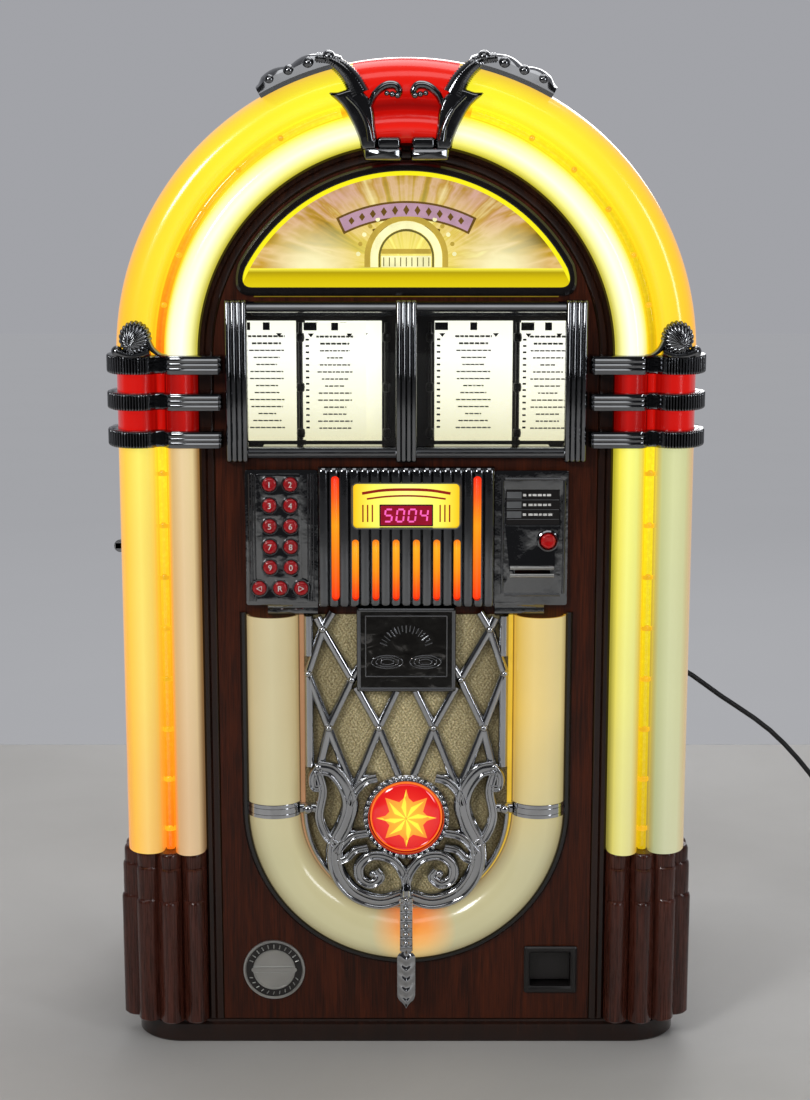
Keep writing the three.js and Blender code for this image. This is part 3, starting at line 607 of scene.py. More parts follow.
def lamp_line(steps=20):
    """Outer line of the lamp section as (distance from the middle, depth)."""
    line = [(LOBE_START, FACE + 0.022), (LOBE_START, FACE + 0.008)]
    middle, half = (LOBE_START + LOBE_END) / 2, (LOBE_END - LOBE_START) / 2
    for k in range(steps + 1):
        t = math.pi - math.pi * k / steps
        line.append((middle + half * math.cos(t), FACE - LOBE_PROUD * math.sin(t)))
    line += [(LOBE_END + 0.001, FACE + 0.012), (GROOVE_END - 0.001, FACE + 0.012)]
    p = [(GROOVE_END, FACE - 0.002), (GROOVE_END + 0.004, FACE - 0.024), (OUTER - 0.008, FACE - 0.024),
         (OUTER - 0.002, FACE + 0.017)]
    line += [bezier(p, k / steps) for k in range(steps + 1)]
    return line + [(OUTER, SEAM - 0.019)]


def lamp_section():
    outer = lamp_line()
    inner = offset_line(outer, 0.003)[::-1]
    values = [0.9 * (x - LOBE_START) / (OUTER - 0.002 - LOBE_START) for x, y in outer]
    values = [v + (0.1 * min(max((y - FACE - 0.012) / 0.045, 0), 1) if v > 0.85 else 0)
              for v, (x, y) in zip(values, outer)]
    return outer + inner, values + values[::-1] + [values[0]]


def around(section, degrees):
    """The section turned about the arch centre; 0 is sideways and 90 straight up."""
    a = math.radians(degrees)
    return [(x * math.cos(a), y, ARCH_Z + x * math.sin(a)) for x, y in section]


def column(name, z0, z1, mats, slot, node, side):
    section, us = lamp_section()
    b = Build()
    b.loft([[(x, y, z0 + (z1 - z0) * k / 12) for x, y in section] for k in range(13)], us)
    b.flip(side)
    return b.done(name, mats, "front_door", slot, (node,), sharp=50)


CROWN_STOPS = [(0, (150, 8, 4)), (0.16, (235, 30, 18)), (0.3, (190, 14, 8)), (0.4, (140, 6, 4)),
               (0.6, (226, 24, 14)), (0.8, (238, 36, 20)), (1, (196, 20, 12))]
LAMPS = {
    # stops across the section (0 inner edge, 1 side), at the lower end then at the upper end
    "column_left": (
        [(0, (120, 92, 62)), (0.05, (202, 172, 132)), (0.16, (216, 182, 140)), (0.28, (206, 160, 110)),
         (0.33, (240, 120, 30)), (0.38, (245, 150, 30)), (0.46, (240, 130, 30)), (0.5, (228, 170, 80)),
         (0.64, (246, 200, 110)), (0.78, (250, 190, 70)), (0.9, (240, 150, 40)), (1, (190, 80, 24))],
        [(0, (150, 110, 60)), (0.05, (228, 204, 150)), (0.16, (232, 206, 158)), (0.28, (214, 176, 112)),
         (0.33, (246, 170, 30)), (0.38, (252, 200, 30)), (0.46, (250, 190, 30)), (0.5, (244, 216, 90)),
         (0.64, (254, 240, 110)), (0.78, (255, 216, 80)), (0.9, (250, 180, 50)), (1, (200, 92, 26))],
    ),
    "column_right": (
        [(0, (140, 130, 60)), (0.05, (210, 200, 110)), (0.14, (222, 216, 140)), (0.24, (214, 206, 140)),
         (0.33, (196, 150, 30)), (0.38, (224, 190, 20)), (0.46, (150, 130, 60)), (0.52, (170, 175, 130)),
         (0.64, (196, 198, 160)), (0.78, (200, 200, 160)), (0.9, (190, 160, 110)), (1, (140, 66, 34))],
        [(0, (190, 180, 50)), (0.05, (250, 236, 80)), (0.14, (255, 255, 130)), (0.24, (240, 240, 120)),
         (0.33, (230, 190, 20)), (0.38, (252, 220, 20)), (0.46, (200, 170, 40)), (0.52, (196, 200, 140)),
         (0.64, (216, 220, 164)), (0.78, (206, 208, 152)), (0.9, (206, 150, 90)), (1, (170, 84, 40))],
    ),
    "arch": (
        [(0, (210, 200, 80)), (0.05, (255, 252, 170)), (0.14, (255, 255, 246)), (0.26, (255, 255, 220)),
         (0.34, (254, 226, 60)), (0.4, (255, 180, 30)), (0.46, (250, 190, 30)), (0.55, (255, 222, 50)),
         (0.7, (255, 212, 54)), (0.82, (255, 196, 44)), (0.92, (250, 160, 40)), (1, (230, 140, 70))],
        [(0, (220, 210, 60)), (0.05, (255, 250, 120)), (0.15, (255, 255, 226)), (0.26, (255, 253, 150)),
         (0.34, (252, 220, 40)), (0.4, (250, 180, 20)), (0.46, (255, 226, 40)), (0.55, (255, 250, 50)),
         (0.7, (255, 244, 50)), (0.82, (254, 222, 66)), (0.92, (244, 190, 110)), (1, (230, 170, 120))],
    ),
    "crown": (
        CROWN_STOPS, CROWN_STOPS,
    ),
    "collar": (
        [(0, (110, 4, 2)), (0.12, (176, 12, 8)), (0.28, (146, 6, 4)), (0.4, (80, 2, 2)), (0.6, (196, 14, 8)),
         (0.8, (210, 18, 10)), (1, (120, 6, 4))],
        [(0, (110, 4, 2)), (0.12, (196, 16, 8)), (0.28, (150, 8, 4)), (0.4, (90, 2, 2)), (0.6, (206, 16, 8)),
         (0.8, (214, 22, 12)), (1, (120, 6, 4))],
    ),
}


def lit_plastics():
    mats = {name: lamp(name + "_lamp", *stops, strength=0.93, base=0.22) for name, stops in LAMPS.items()}
    section, us = lamp_section()
    for side, tag in SIDES:
        column("column_lens_" + tag, COLUMN_BOTTOM, COLLAR_BOTTOM - 0.0004, mats["column_" + tag],
               "lamp_amber",
               "pilaster_plastic_" + tag, side)
        column("collar_lens_" + tag, COLLAR_BOTTOM, ARCH_Z - 0.0004, mats["collar"], "lamp_red",
               "collar_plastic_" + tag, side)
        b = Build()
        end = 90 - CROWN_HALF - 0.06
        b.loft([around(section, 0.03 + (end - 0.03) * k / 48) for k in range(49)], us)
        b.flip(side).done("arch_lens_" + tag, mats["arch"], "front_door", "lamp_amber",
                          ("arch_plastic_" + tag,),
                          sharp=50)
    b = Build()
    b.loft([around(section, 90 - CROWN_HALF + 2 * CROWN_HALF * k / 12) for k in range(13)], us)
    b.done("crown_lens", mats["crown"], "front_door", "lamp_red", ("crown_plastic",), sharp=50)


def tube_material(name, low, high):
    m = Mat(name, Roughness=0.06, Coat_Weight=1.0, Coat_Roughness=0.02)
    cells = m.node("TexVoronoi", {"Vector": m.place(), "Scale": 160}).outputs["Distance"]
    bubbles = m.ramp(cells, [(0.2, (1.0, 1.0, 0.95, 1)), (0.55, (0.9, 0.84, 0.7, 1))])
    along = m.mix(m.section()[1], low, high)
    colour = m.mix(0.6, along, bubbles, "MULTIPLY")
    m.lit(colour, 0.95, 0.3)
    return m.m


def bubble_tubes():
    red = lamp("tube_behind_red", *LAMPS["collar"], strength=0.8, base=0.3)
    for side, tag in SIDES:
        low, high = ((214, 180, 16), (255, 240, 40)) if side > 0 else ((250, 120, 20), (255, 235, 50))
        mat = tube_material("bubble_liquid_" + tag, low, high)
        circle = arc(TUBE_X, TUBE_Y, TUBE_R, turns(20))
        b = Build()

        def upright(z0, z1, steps):
            return [[(x, y, z0 + (z1 - z0) * k / steps) for x, y in circle] for k in range(steps + 1)]

        b.loft(upright(COLUMN_BOTTOM + 0.001, COLLAR_BOTTOM, 20), caps=False)
        b.mat = 1
        b.loft(upright(COLLAR_BOTTOM, ARCH_Z, 4), caps=False)
        b.mat = 0
        b.loft([around(circle, 75 * k / 36) for k in range(37)], caps=False)
        for loop, flip_it in ((upright(COLUMN_BOTTOM + 0.001, 1, 1)[0], True), (around(circle, 75), False)):
            start = len(b.verts)
            b.verts.extend(loop)
            ids = list(range(start, start + len(loop)))
            b.face(ids[::-1] if flip_it else ids)
        b.flip(side).done("bubble_tube_" + tag + "_glass", [mat, red], "front_door", "bubble_glass",
                          ("bubble_tube_" + tag,), sharp=60)
        b = Build()
        for k in range(8):
            z = COLUMN_BOTTOM + 0.03 + 0.067 * k
            b.bead(TUBE_X, TUBE_Y - 0.0035, z, 0.0042, 8, 16)
            b.lathe_z([(0.0066, z - 0.004), (0.0069, z - 0.002), (0.0066, z + 0.001), (0.0062, z + 0.001)],
                      TUBE_X, TUBE_Y, 24)
        for k in range(1, 6):
            for x, y, z in around([(TUBE_X, TUBE_Y - 0.0035)], 12 * k):
                b.bead(x, y, z, 0.0042, 8, 16)
        # The clips and their rings glow yellow: painted highlights along the bubble tube.
        b.flip(side).done("bubble_clips_" + tag, print_glow("clip_painted_highlight_" + tag, (255, 196, 40), 0.85),
                          "front_door",
                          "bubble_glass")


lit_plastics()
bubble_tubes()


# ---------- wooden front ----------

def arch_loop(half, bottom, steps=96):
    """(x, z) outline with a round top, from the lower right corner upwards."""
    points = [(half, bottom + (ARCH_Z - bottom) * k / 6) for k in range(6)]
    points += arc(0, ARCH_Z, half, half_turn(steps))
    points += [(-half, ARCH_Z - (ARCH_Z - bottom) * k / 6) for k in range(1, 7)]
    return points


def arch_band(b, inner, outer, profile, bottom):
    """Sweeps a section of (share from inner to outer, depth) along the round-topped band."""
    return b.ring([(arch_loop(inner + (outer - inner) * share, bottom), y) for share, y in profile],
                  closed=False)


def make_frame():
    b = Build()
    front = [(0, FACE + 0.0189), (0, FACE + 0.002), (0.1, FACE - 0.0005), (0.2, FACE - 0.0014),
             (0.45, FACE - 0.0016),
             (0.52, FACE + 0.0006), (0.62, FACE - 0.0012), (0.86, FACE - 0.0008), (1, FACE + 0.002),
             (1, SEAM), (0.3, SEAM)]
    arch_band(b, 0.242, 0.262, front, FLOOR_GAP)
    arch_band(b, 0.254, 0.349, [(0, SEAM - 0.016), (1, SEAM - 0.016), (1, SEAM), (0, SEAM)], FLOOR_GAP)
    return b.done("frame_moulding", M["frame"], "front_door", "dark_frame", ("front_frame",), sharp=32)


def cut_holes(o, tool, bevel=0.0):
    """Cuts the tool build's shapes out of the piece and keeps its flat faces flat."""
    cutter = tool.done(o.name + "_tool", o.data.materials[0], None)
    m = o.modifiers.new("holes", "BOOLEAN")
    m.operation = "DIFFERENCE"
    m.solver = "EXACT"
    m.use_self = True
    m.object = cutter
    if bevel:
        soften(o, bevel)
    graph = bpy.context.evaluated_depsgraph_get()
    mesh = bpy.data.meshes.new_from_object(o.evaluated_get(graph))
    o.modifiers.clear()
    o.data = mesh
    bpy.data.objects.remove(cutter)
    mesh.shade_smooth()
    mesh.set_sharp_from_angle(angle=math.radians(32))
    return o


def make_panel():
    """Veneered panel with its openings for the titles, the loudspeaker and the coin cup."""
    b = Build()
    back = FACE + 0.0185
    b.prism(arch_loop(0.2416, FLOOR_GAP + 0.0002), FACE, back)
    o = b.done("veneered_panel", [M["walnut"], M["board"]], "front_door", "walnut", ("front_panel",))
    tool = Build()
    tool.prism(rounded(-0.2055, 0.2055, 0.790, 0.978, 0.004), FACE - 0.01, back + 0.01)
    tool.lathe([(0.086, FACE - 0.01), (0.086, back + 0.01)], 0, 0.42, 48)
    tool.prism(rounded(0.161, 0.221, 0.076, 0.129, 0.002), FACE - 0.01, back + 0.01)
    cut_holes(o, tool)
    for face in o.data.polygons:
        face.material_index = 0 if face.normal.y < -0.5 else 1
    return o


def make_plinth():
    half, corner, back = 0.362, 0.062, 0.259
    quarter = [math.pi / 2 * k / 16 for k in range(17)]
    outline = arc(half - corner, FACE + corner, corner, [a - math.pi / 2 for a in quarter])
    outline += [(half, back), (-half, back)]
    outline += arc(corner - half, FACE + corner, corner, [a + math.pi for a in quarter])
    b = Build()
    middle = 0.02
    loops = []
    for z, shrink in ((0, 0.0015), (0.002, 0), (0.022, 0), (0.026, 0.0008), (0.0275, 0.0022), (0.029, 0.0012),
                      (0.0312, 0.0018), (0.032, 0.0035)):
        scale = 1 - shrink / 0.36
        loops.append([(x * scale, middle + (y - middle) * scale, z) for x, y in outline])
    b.loft(loops)
    return b.done("plinth_moulding", M["frame"], "cabinet", "dark_frame", ("plinth",), sharp=28)


FOOT_CORNERS = [(0.2626, -0.226), (0.294, -0.231), (0.326, -0.230), (0.355, -0.216), (0.368, -0.187),
                (0.369, -0.165)]
FOOT_BULGES = [0.015, 0.015, 0.013, 0.012, 0.006]


def foot_outline(grow, steps=10):
    points = [(0.2626, SEAM - 0.017)]
    for i, bulge in enumerate(FOOT_BULGES):
        (ax, ay), (bx, by) = FOOT_CORNERS[i], FOOT_CORNERS[i + 1]
        length = math.hypot(bx - ax, by - ay)
        nx, ny = (by - ay) / length, -(bx - ax) / length
        for k in range(steps):
            t = k / steps
            out = (bulge + grow) * math.sin(math.pi * t) ** 0.7 + grow * 0.5
            points.append((ax + (bx - ax) * t + nx * out, ay + (by - ay) * t + ny * out))
    points[1] = (points[0][0], points[1][1])
    return points + [(0.369 + grow, SEAM - 0.017)]


def make_feet():
    tiers = [(FLOOR_GAP, 0.001), (0.036, 0.003), (0.197, 0.003), (0.200, 0.0024), (0.2018, 0.0008),
             (0.2035, 0.0014),
             (0.241, 0.0014), (0.244, 0.0010), (0.2455, -0.0006), (0.247, 0), (0.262, 0), (0.265, -0.0006),
             (COLUMN_BOTTOM - 0.0004, -0.002)]
    for side, tag in SIDES:
        b = Build()
        b.loft([[(x, y, z) for x, y in foot_outline(grow)] for z, grow in tiers])
        b.flip(side).done("pilaster_foot_" + tag, M["foot"], "front_door", "pilaster_wood",
                          ("pilaster_base_" + tag,),
                          sharp=36)


make_frame()
make_panel()
make_plinth()
make_feet()


# ---------- chrome collars and clasps ----------

def lamp_cover_line():
    """Back line of a collar band, just in front of the lamp plastic."""
    return [(x, y) for x, y in offset_line(lamp_line(), -0.0006) if y < FACE - 0.001 or x > GROOVE_END
            + 0.001]


def band_front(ribs=20):
    """Front line of a collar band: flat strap, neck, then a ribbed sweep round the side."""
    line = [(0.230, FACE - 0.0005), (0.230, FACE - 0.024), (0.2312, FACE - 0.0275), (0.234, FACE - 0.0302),
            (0.238, FACE - 0.031), (0.292, FACE - 0.031), (0.2965, FACE - 0.029), (0.300, FACE - 0.023),
            (0.304, FACE - 0.014), (0.309, FACE - 0.011), (0.314, FACE - 0.014), (0.318, FACE - 0.022)]
    p = [(0.321, FACE - 0.028), (0.340, FACE - 0.040), (0.378, FACE - 0.031), (0.381, FACE + 0.037)]
    count = ribs * 8
    for k in range(count + 1):
        t = k / count
        x, y = bezier(p, t)
        nx, ny = 0.35 - x, -0.19 - y
        size = math.hypot(nx, ny)
        depth = 0.0030 * (1 - abs(math.sin(math.pi * ribs * t)) ** 0.7)
        line.append((x + nx / size * depth, y + ny / size * depth))
    return line + [(0.3795, FACE + 0.056), (0.376, FACE + 0.060), (0.3692, FACE + 0.0605)]


def strap_ribs(share):
    """Horizontal flutes: how far the strap's surface sinks at a height from 0 to 1."""
    return 0.0013 * (0.5 - 0.5 * math.cos(2 * math.pi * 4 * share)) ** 0.7


def collar_band(b, z0, z1):
    front = band_front()
    back = lamp_cover_line()
    middle = (0.345, -0.17)
    steps = 24
    loops = []
    for k in range(steps + 1):
        share = k / steps
        edge = 0.004 * (1 - math.sqrt(max(1 - (max(abs(2 * share - 1) - 0.72, 0) / 0.28) ** 2, 0)))
        loop = []
        for x, y in front:
            if x < 0.30 and y < FACE - 0.004:
                sink = strap_ribs(share) + edge
                loop.append((x + (sink if x < 0.234 else 0), y + sink, z0 + (z1 - z0) * share))
            elif x < 0.319:
                loop.append((x, y + edge * 0.7, z0 + (z1 - z0) * share))
            else:
                dx, dy = middle[0] - x, middle[1] - y
                size = math.hypot(dx, dy)
                loop.append((x + dx / size * edge, y + dy / size * edge, z0 + (z1 - z0) * share))
        loop += [(x, y, z0 + (z1 - z0) * share) for x, y in back[::-1]]
        loop.append((0.2615, FACE - 0.0005, z0 + (z1 - z0) * share))
        loops.append(loop)
    b.loft(loops)


def shell_finial(b):
    """Ribbed shell above the top band, its ribs fanning out from low on the outer side."""
    cx, cz, y0, size = 0.336, COLLAR_BOTTOM + 0.137, FACE - 0.0216, 0.0205
    rings, spokes = 14, 168
    loops = []
    for k in range(rings + 1):
        share = 1 - k / rings
        loop = []
        for i in range(spokes):
            a = 2 * math.pi * i / spokes
            wave = 0.0020 * abs(math.sin(a * 10.5)) ** 0.7 * share
            r = max(size * share + wave, 1e-5)
            rise = 0.0150 * math.sqrt(max(1 - share ** 2, 0)) + wave * 0.8
            loop.append((cx + 0.0075 * (1 - share) + r * math.cos(a) * 0.92, y0 - rise,
                         cz - 0.0085 * (1 - share) + r * math.sin(a)))
        loops.append(loop)
    b.loft(loops)
    b.bar([(0.297, 0.9155), (0.306, 0.9175), (0.315, 0.924), (0.321, 0.934)], 0.009, FACE - 0.0216,
          FACE - 0.032, 5,
          lambda t: 0.4 + 0.6 * t)
    b.bar([(0.318, 0.921), (0.330, 0.917), (0.345, 0.917), (0.358, 0.921)], 0.010, FACE - 0.0216,
          FACE - 0.036, 5)
    b.bead(0.359, FACE - 0.024, 0.921, 0.0075, 8, 16)
    b.mat = 1
    b.prism_z([(0.246, FACE - 0.003), (0.260, FACE - 0.003), (0.260, FACE - 0.0005), (0.246, FACE - 0.0005)],
              COLLAR_BOTTOM + 0.001, COLLAR_BOTTOM + 0.115)


def make_collars():
    for side, tag in SIDES:
        b = Build()
        for low, high in ((0, 0.022), (0.047, 0.069), (0.092, 0.116)):
            collar_band(b, COLLAR_BOTTOM + low, COLLAR_BOTTOM + high)
        shell_finial(b)
        b.flip(side).done("collar_" + tag, [M["chrome_painted_dark_reflection"], M["frame"]], "front_door", "chrome",
                          ("collar_casting_" + tag,), sharp=30)


def clasp_loops(outline, y_back, y_front):
    """A pillow with the outline's shape, rounded towards the front."""
    steps = 5
    loops = [[(x, y_back, z) for x, z in outline]]
    for k in range(steps + 1):
        t = math.pi / 2 * k / steps
        inset = 0.0042 * (1 - math.cos(t))
        line = inset_outline(outline, inset)
        loops.append([(x, y_front + (y_back - y_front) * (1 - math.sin(t)) * 0.7, z) for x, z in line])
    return loops


def inset_outline(outline, distance):
    out = []
    n = len(outline)
    for i in range(n):
        p, a, c = Vector(outline[i]), Vector(outline[i - 1]), Vector(outline[(i + 1) % n])
        d1, d2 = (p - a).normalized(), (c - p).normalized()
        mean = (d1 + d2)
        mean = mean.normalized() if mean.length > 1e-6 else d1
        stretch = 1 / max(mean.dot(d1), 0.6)
        out.append((p.x - mean.y * distance * stretch, p.y + mean.x * distance * stretch))
    return out


def make_clasps():
    """Cast clasps either side of the crown: foot, ribbed neck, curled arm and a tail along the arch."""
    back, front = FACE - 0.0252, FACE - 0.0356
    for side, tag in SIDES:
        b = Build()
        b.loft(clasp_loops(rounded(0.005, 0.0525, 1.153, 1.1695, 0.004), back + 0.010, front))
        b.loft(clasp_loops(rounded(0.006, 0.036, 1.1665, 1.182, 0.005), back + 0.006, front + 0.002))
        body = [(0.036, 1.166), (0.0535, 1.166), (0.058, 1.180), (0.066, 1.198), (0.079, 1.219),
                (0.094, 1.233),
                (0.083, 1.2345), (0.072, 1.238), (0.060, 1.240), (0.049, 1.232), (0.042, 1.222),
                (0.0385, 1.209), (0.0375, 1.195), (0.0355, 1.182)]
        b.loft(clasp_loops([tuple(p) for p in spline(body, 3)], back + 0.004, front))
        b.bar([(0.043, 1.176), (0.047, 1.195), (0.057, 1.214), (0.072, 1.229)], 0.010, front + 0.004,
              front - 0.0035,
              5, lambda t: 1 - 0.55 * t)
        b.bar([(0.045, 1.216), (0.038, 1.232), (0.026, 1.2415), (0.014, 1.2425), (0.0085, 1.236),
               (0.0105, 1.2295)],
              0.0105, back, front, 5, lambda t: 0.65 + 0.35 * math.sin(math.pi * t))
        for k in range(3):
            b.bead(0.0105 + 0.0065 * k, front + 0.003, 1.2305 + 0.0012 * k, 0.0042 - 0.0004 * k, 6, 12)
        arm = [(0.057, 1.232), (0.065, 1.248), (0.077, 1.262), (0.092, 1.2715), (0.110, 1.2745)]
        line = spline(arm, 12)
        for k in range(0, len(line) - 1, 2):
            d = (line[k + 1] - line[k]).normalized()
            b.bar([line[k] - d * 0.0003, line[k] + d * 0.0013], 0.0268 - 0.0145 * k / len(line), back + 0.002,
                  front - 0.0032)
        b.bar(arm, 0.0250, back, front - 0.0006, 8, lambda t: 1 - 0.6 * t)
        clasp_tail(b)
        b.flip(side).done("clasp_" + tag, M["chrome_painted_dark_reflection"], "front_door", "chrome", ("crown_clasp_" + tag,),
                          sharp=34)


def clasp_tail(b):
    """Scalloped tail lying over the arch's outer edge."""
    steps, across = 60, 10
    loops = []
    for k in range(steps + 1):
        t = k / steps
        degrees = 77.8 - 17 * t
        swell = (0.0115 + 0.0055 * abs(math.cos(math.pi * 2.6 * t))) * (1 - 0.5 * max(t - 0.9, 0) / 0.1)
        swell *= min(1, 0.2 + 5 * t)
        loop = [(OUTER - 0.0075, FACE - 0.030), (OUTER - 0.0085, FACE - 0.0335),
                (OUTER - 0.003, FACE - 0.0365)]
        for i in range(across + 1):
            a = math.pi * i / across
            r = OUTER + 0.0016 + swell * math.sin(a) ** 0.8 + 0.0005 * math.cos(6 * a)
            y = FACE + 0.001 - 0.036 * math.cos(a)
            loop.append((r, y))
        loops.append(around(loop, degrees))
    b.loft(loops)
    for k in range(4):
        for x, y, z in around([(OUTER + 0.0065, FACE - 0.031)], 75.5 - 3.9 * k):
            b.bead(x, y, z, 0.0082 - 0.0006 * k, 8, 14)


make_collars()
make_clasps()


# ---------- arch window ----------

WINDOW_R, WINDOW_BOTTOM = 0.2285, 0.999


def window_outline(grow=0.0, steps=72):
    r, bottom = WINDOW_R + grow, WINDOW_BOTTOM - grow
    start = math.asin((WINDOW_BOTTOM + 0.024 - ARCH_Z) / WINDOW_R)
    points = arc(0, ARCH_Z, r, [start + (math.pi - 2 * start) * k / steps for k in range(steps + 1)])
    corner = []
    end, low = points[-1], (-0.192 - grow * 0.3, bottom)
    ctrl = (-0.210 - grow, bottom)
    for k in range(1, 9):
        t = k / 8
        corner.append(tuple((1 - t) ** 2 * e + 2 * t * (1 - t) * c + t * t * w for e, c,
                            w in zip(end, ctrl, low)))
    return points + corner + [(-x, z) for x, z in corner[::-1]]


def art_material():
    """Back-printed dusk sky with soft light rays above a yellow strip."""
    m = Mat("window_art", Roughness=0.1, Coat_Weight=0.6, Coat_Roughness=0.04)
    x, _, z = m.axes()
    dx = m.math("ABSOLUTE", x)
    dz = m.math("SUBTRACT", z, 1.02)
    angle = m.math("ARCTAN2", dz, dx)
    fan = m.node("CombineXYZ", {0: angle, 1: m.math("MULTIPLY", dx, 1.5)}).outputs[0]
    rays = m.node("TexNoise", {"Vector": fan, "Scale": 5.0, "Detail": 3.0, "Distortion": 0.6}).outputs["Fac"]
    cloud = m.noise(11, 4, (1, 1, 2.2), 0.7)
    fields = m.math("ADD", m.math("MULTIPLY", rays, 0.66), m.math("MULTIPLY", cloud, 0.34))
    sky = m.ramp(fields, [(0.36, (132, 110, 30)), (0.44, (196, 160, 60)), (0.5, (228, 196, 158)),
                          (0.56, (200, 160, 66)), (0.64, (255, 250, 176))])
    height = m.share(z, WINDOW_BOTTOM, 0.143)
    shade = m.ramp(height, [(0.0, (1.0, 0.9, 0.35, 1)), (0.35, (1.0, 0.94, 0.62, 1)),
                            (0.8, (0.82, 0.66, 0.84, 1)),
                            (1.0, (0.9, 0.8, 0.6, 1))])
    sky = m.mix(0.85, sky, shade, "MULTIPLY")
    centre = m.distance(x, dz)
    sky = m.mix(m.ramp(centre, [(0.02, 0.8), (0.12, 0)]), sky, (255, 244, 120))
    side = m.math("SUBTRACT", dx, 0.118)
    beam = m.distance(side, dz)
    sky = m.mix(m.ramp(beam, [(0.012, 0.85), (0.062, 0)]), sky, (255, 250, 198))
    strip = m.ramp(height, [(0.0, (226, 206, 20)), (0.08, (214, 190, 8)), (0.13, (178, 156, 10)),
                            (0.16, (252, 242, 70))])
    mask = m.math("LESS_THAN", height, 0.165)
    colour = m.mix(mask, sky, strip)
    radius = m.distance(x, m.math("SUBTRACT", z, ARCH_Z))
    rim = m.math("GREATER_THAN", radius, WINDOW_R - 0.0055)
    colour = m.mix(rim, colour, (250, 240, 30))
    m.lit(colour, 0.95, 0.2)
    return m.m


def make_window():
    b = Build()
    b.prism(window_outline(-0.0002), FACE - 0.0022, BEHIND)
    b.done("window_glass_art", art_material(), "front_door", "art", ("arch_window",))
    ring = Build()
    profile = [(0, FACE - 0.0003), (0, FACE - 0.0036), (0.0012, FACE - 0.0046), (0.0066, FACE - 0.0046),
               (0.0098, FACE - 0.0026), (0.0102, FACE - 0.0003)]
    rows = [(window_outline(grow), y) for grow, y in profile]
    ring.ring(rows)
    ring.done("window_bezel", M["gloss_black"], "front_door", "dark_frame", sharp=30)
    trim = Build()
    bottom = WINDOW_BOTTOM - 0.0112
    trim.bar([(-0.190, bottom), (0.190, bottom)], 0.0012, FACE - 0.0003, FACE - 0.0026)
    trim.done("window_gold_line", print_glow("gold_line", (190, 160, 40), 0.35), "front_door", "art")
    little_arch()


def little_arch():
    """A small printed picture of a lit arch in the window's middle."""
    paints = [print_glow("print_cream", (255, 250, 190), 0.95), print_glow("print_gold", (206, 176, 70), 0.8),
              print_glow("print_olive", (120, 110, 50), 0.7)]
    y = FACE - 0.0023
    base = WINDOW_BOTTOM + 0.025
    b = Build()

    def arch_strip(outer, inner, mat, lift):
        b.mat = mat
        big, small = ([(r, base)] + arc(0, base + 0.012, r, half_turn(28)) + [(-r, base)]
                      for r in (outer, inner))
        b.ring([(small, y), (small, y - lift), (big, y - lift), (big, y)], closed=False)

    arch_strip(0.052, 0.045, 1, 0.0002)
    arch_strip(0.0445, 0.035, 0, 0.0003)
    arch_strip(0.0345, 0.032, 2, 0.0004)
    b.mat = 0
    b.prism(rounded(-0.031, 0.031, base, base + 0.014, 0.001), y - 0.0002, y)
    b.mat = 2
    for k in range(9):
        x = -0.028 + 0.007 * k
        b.box(x - 0.0006, x + 0.0006, y - 0.0004, y - 0.0001, base + 0.001, base + 0.012)
    b.mat = 1
    b.prism(rounded(-0.031, 0.031, base + 0.0165, base + 0.0225, 0.001), y - 0.0003, y)
    for k in range(15):
        a = math.pi * (k + 0.5) / 15
        b.mat = k % 2
        x, z = 0.060 * math.cos(a), base + 0.010 + 0.060 * math.sin(a)
        b.prism(arc(x, z, 0.0028, turns(10)), y - 0.0003, y)
    b.done("window_little_arch", paints, "front_door", "art")
    banner = Build()
    for mat, radius, reach, wide, lift in ((1, 0.181, 27, 0.022, 0.0002), (0, 0.181, 26, 0.017, 0.0004),
                                           (1, 0.160, 15, 0.006, 0.0002)):
        banner.mat = mat
        span = [math.radians(90 + reach * (k / 12 - 1)) for k in range(25)]
        banner.bar(arc(0, ARCH_Z, radius, span), wide, y, y - lift)
    banner.mat = 1
    for k in range(-5, 6):
        a = math.radians(90 - 4.4 * k)
        tall = 0.0062 - 0.0003 * abs(k)
        x, z = 0.181 * math.cos(a), ARCH_Z + 0.181 * math.sin(a)
        banner.prism([(x - 0.0038, z), (x, z - tall), (x + 0.0038, z), (x, z + tall)], y - 0.0006, y - 0.0001)
    banner.done("window_banner", [print_glow("print_violet", (196, 156, 176), 0.85),
                                  print_glow("print_bronze", (120, 88, 30), 0.7)], "front_door", "art")


# ---------- title holder ----------

def fluted(b, x0, x1, crest, groove, reeds, power, levels):
    """Vertical casting with rounded reeds; levels are heights and how far the front sinks there."""
    per = 10
    front = []
    for k in range(reeds * per + 1):
        t = k / per % 1
        wave = math.sin(math.pi * t) ** power if t else 0
        front.append((x0 + (x1 - x0) * k / (reeds * per), crest + groove * (1 - wave)))
    return b.loft([[(x1, BEHIND, z), (x0, BEHIND, z)] + [(x, y + sink, z) for x, y in front] for z,
                   sink in levels])


TITLE_HALF, TITLE_BOTTOM, TITLE_TOP = 0.226, 0.781, 0.984


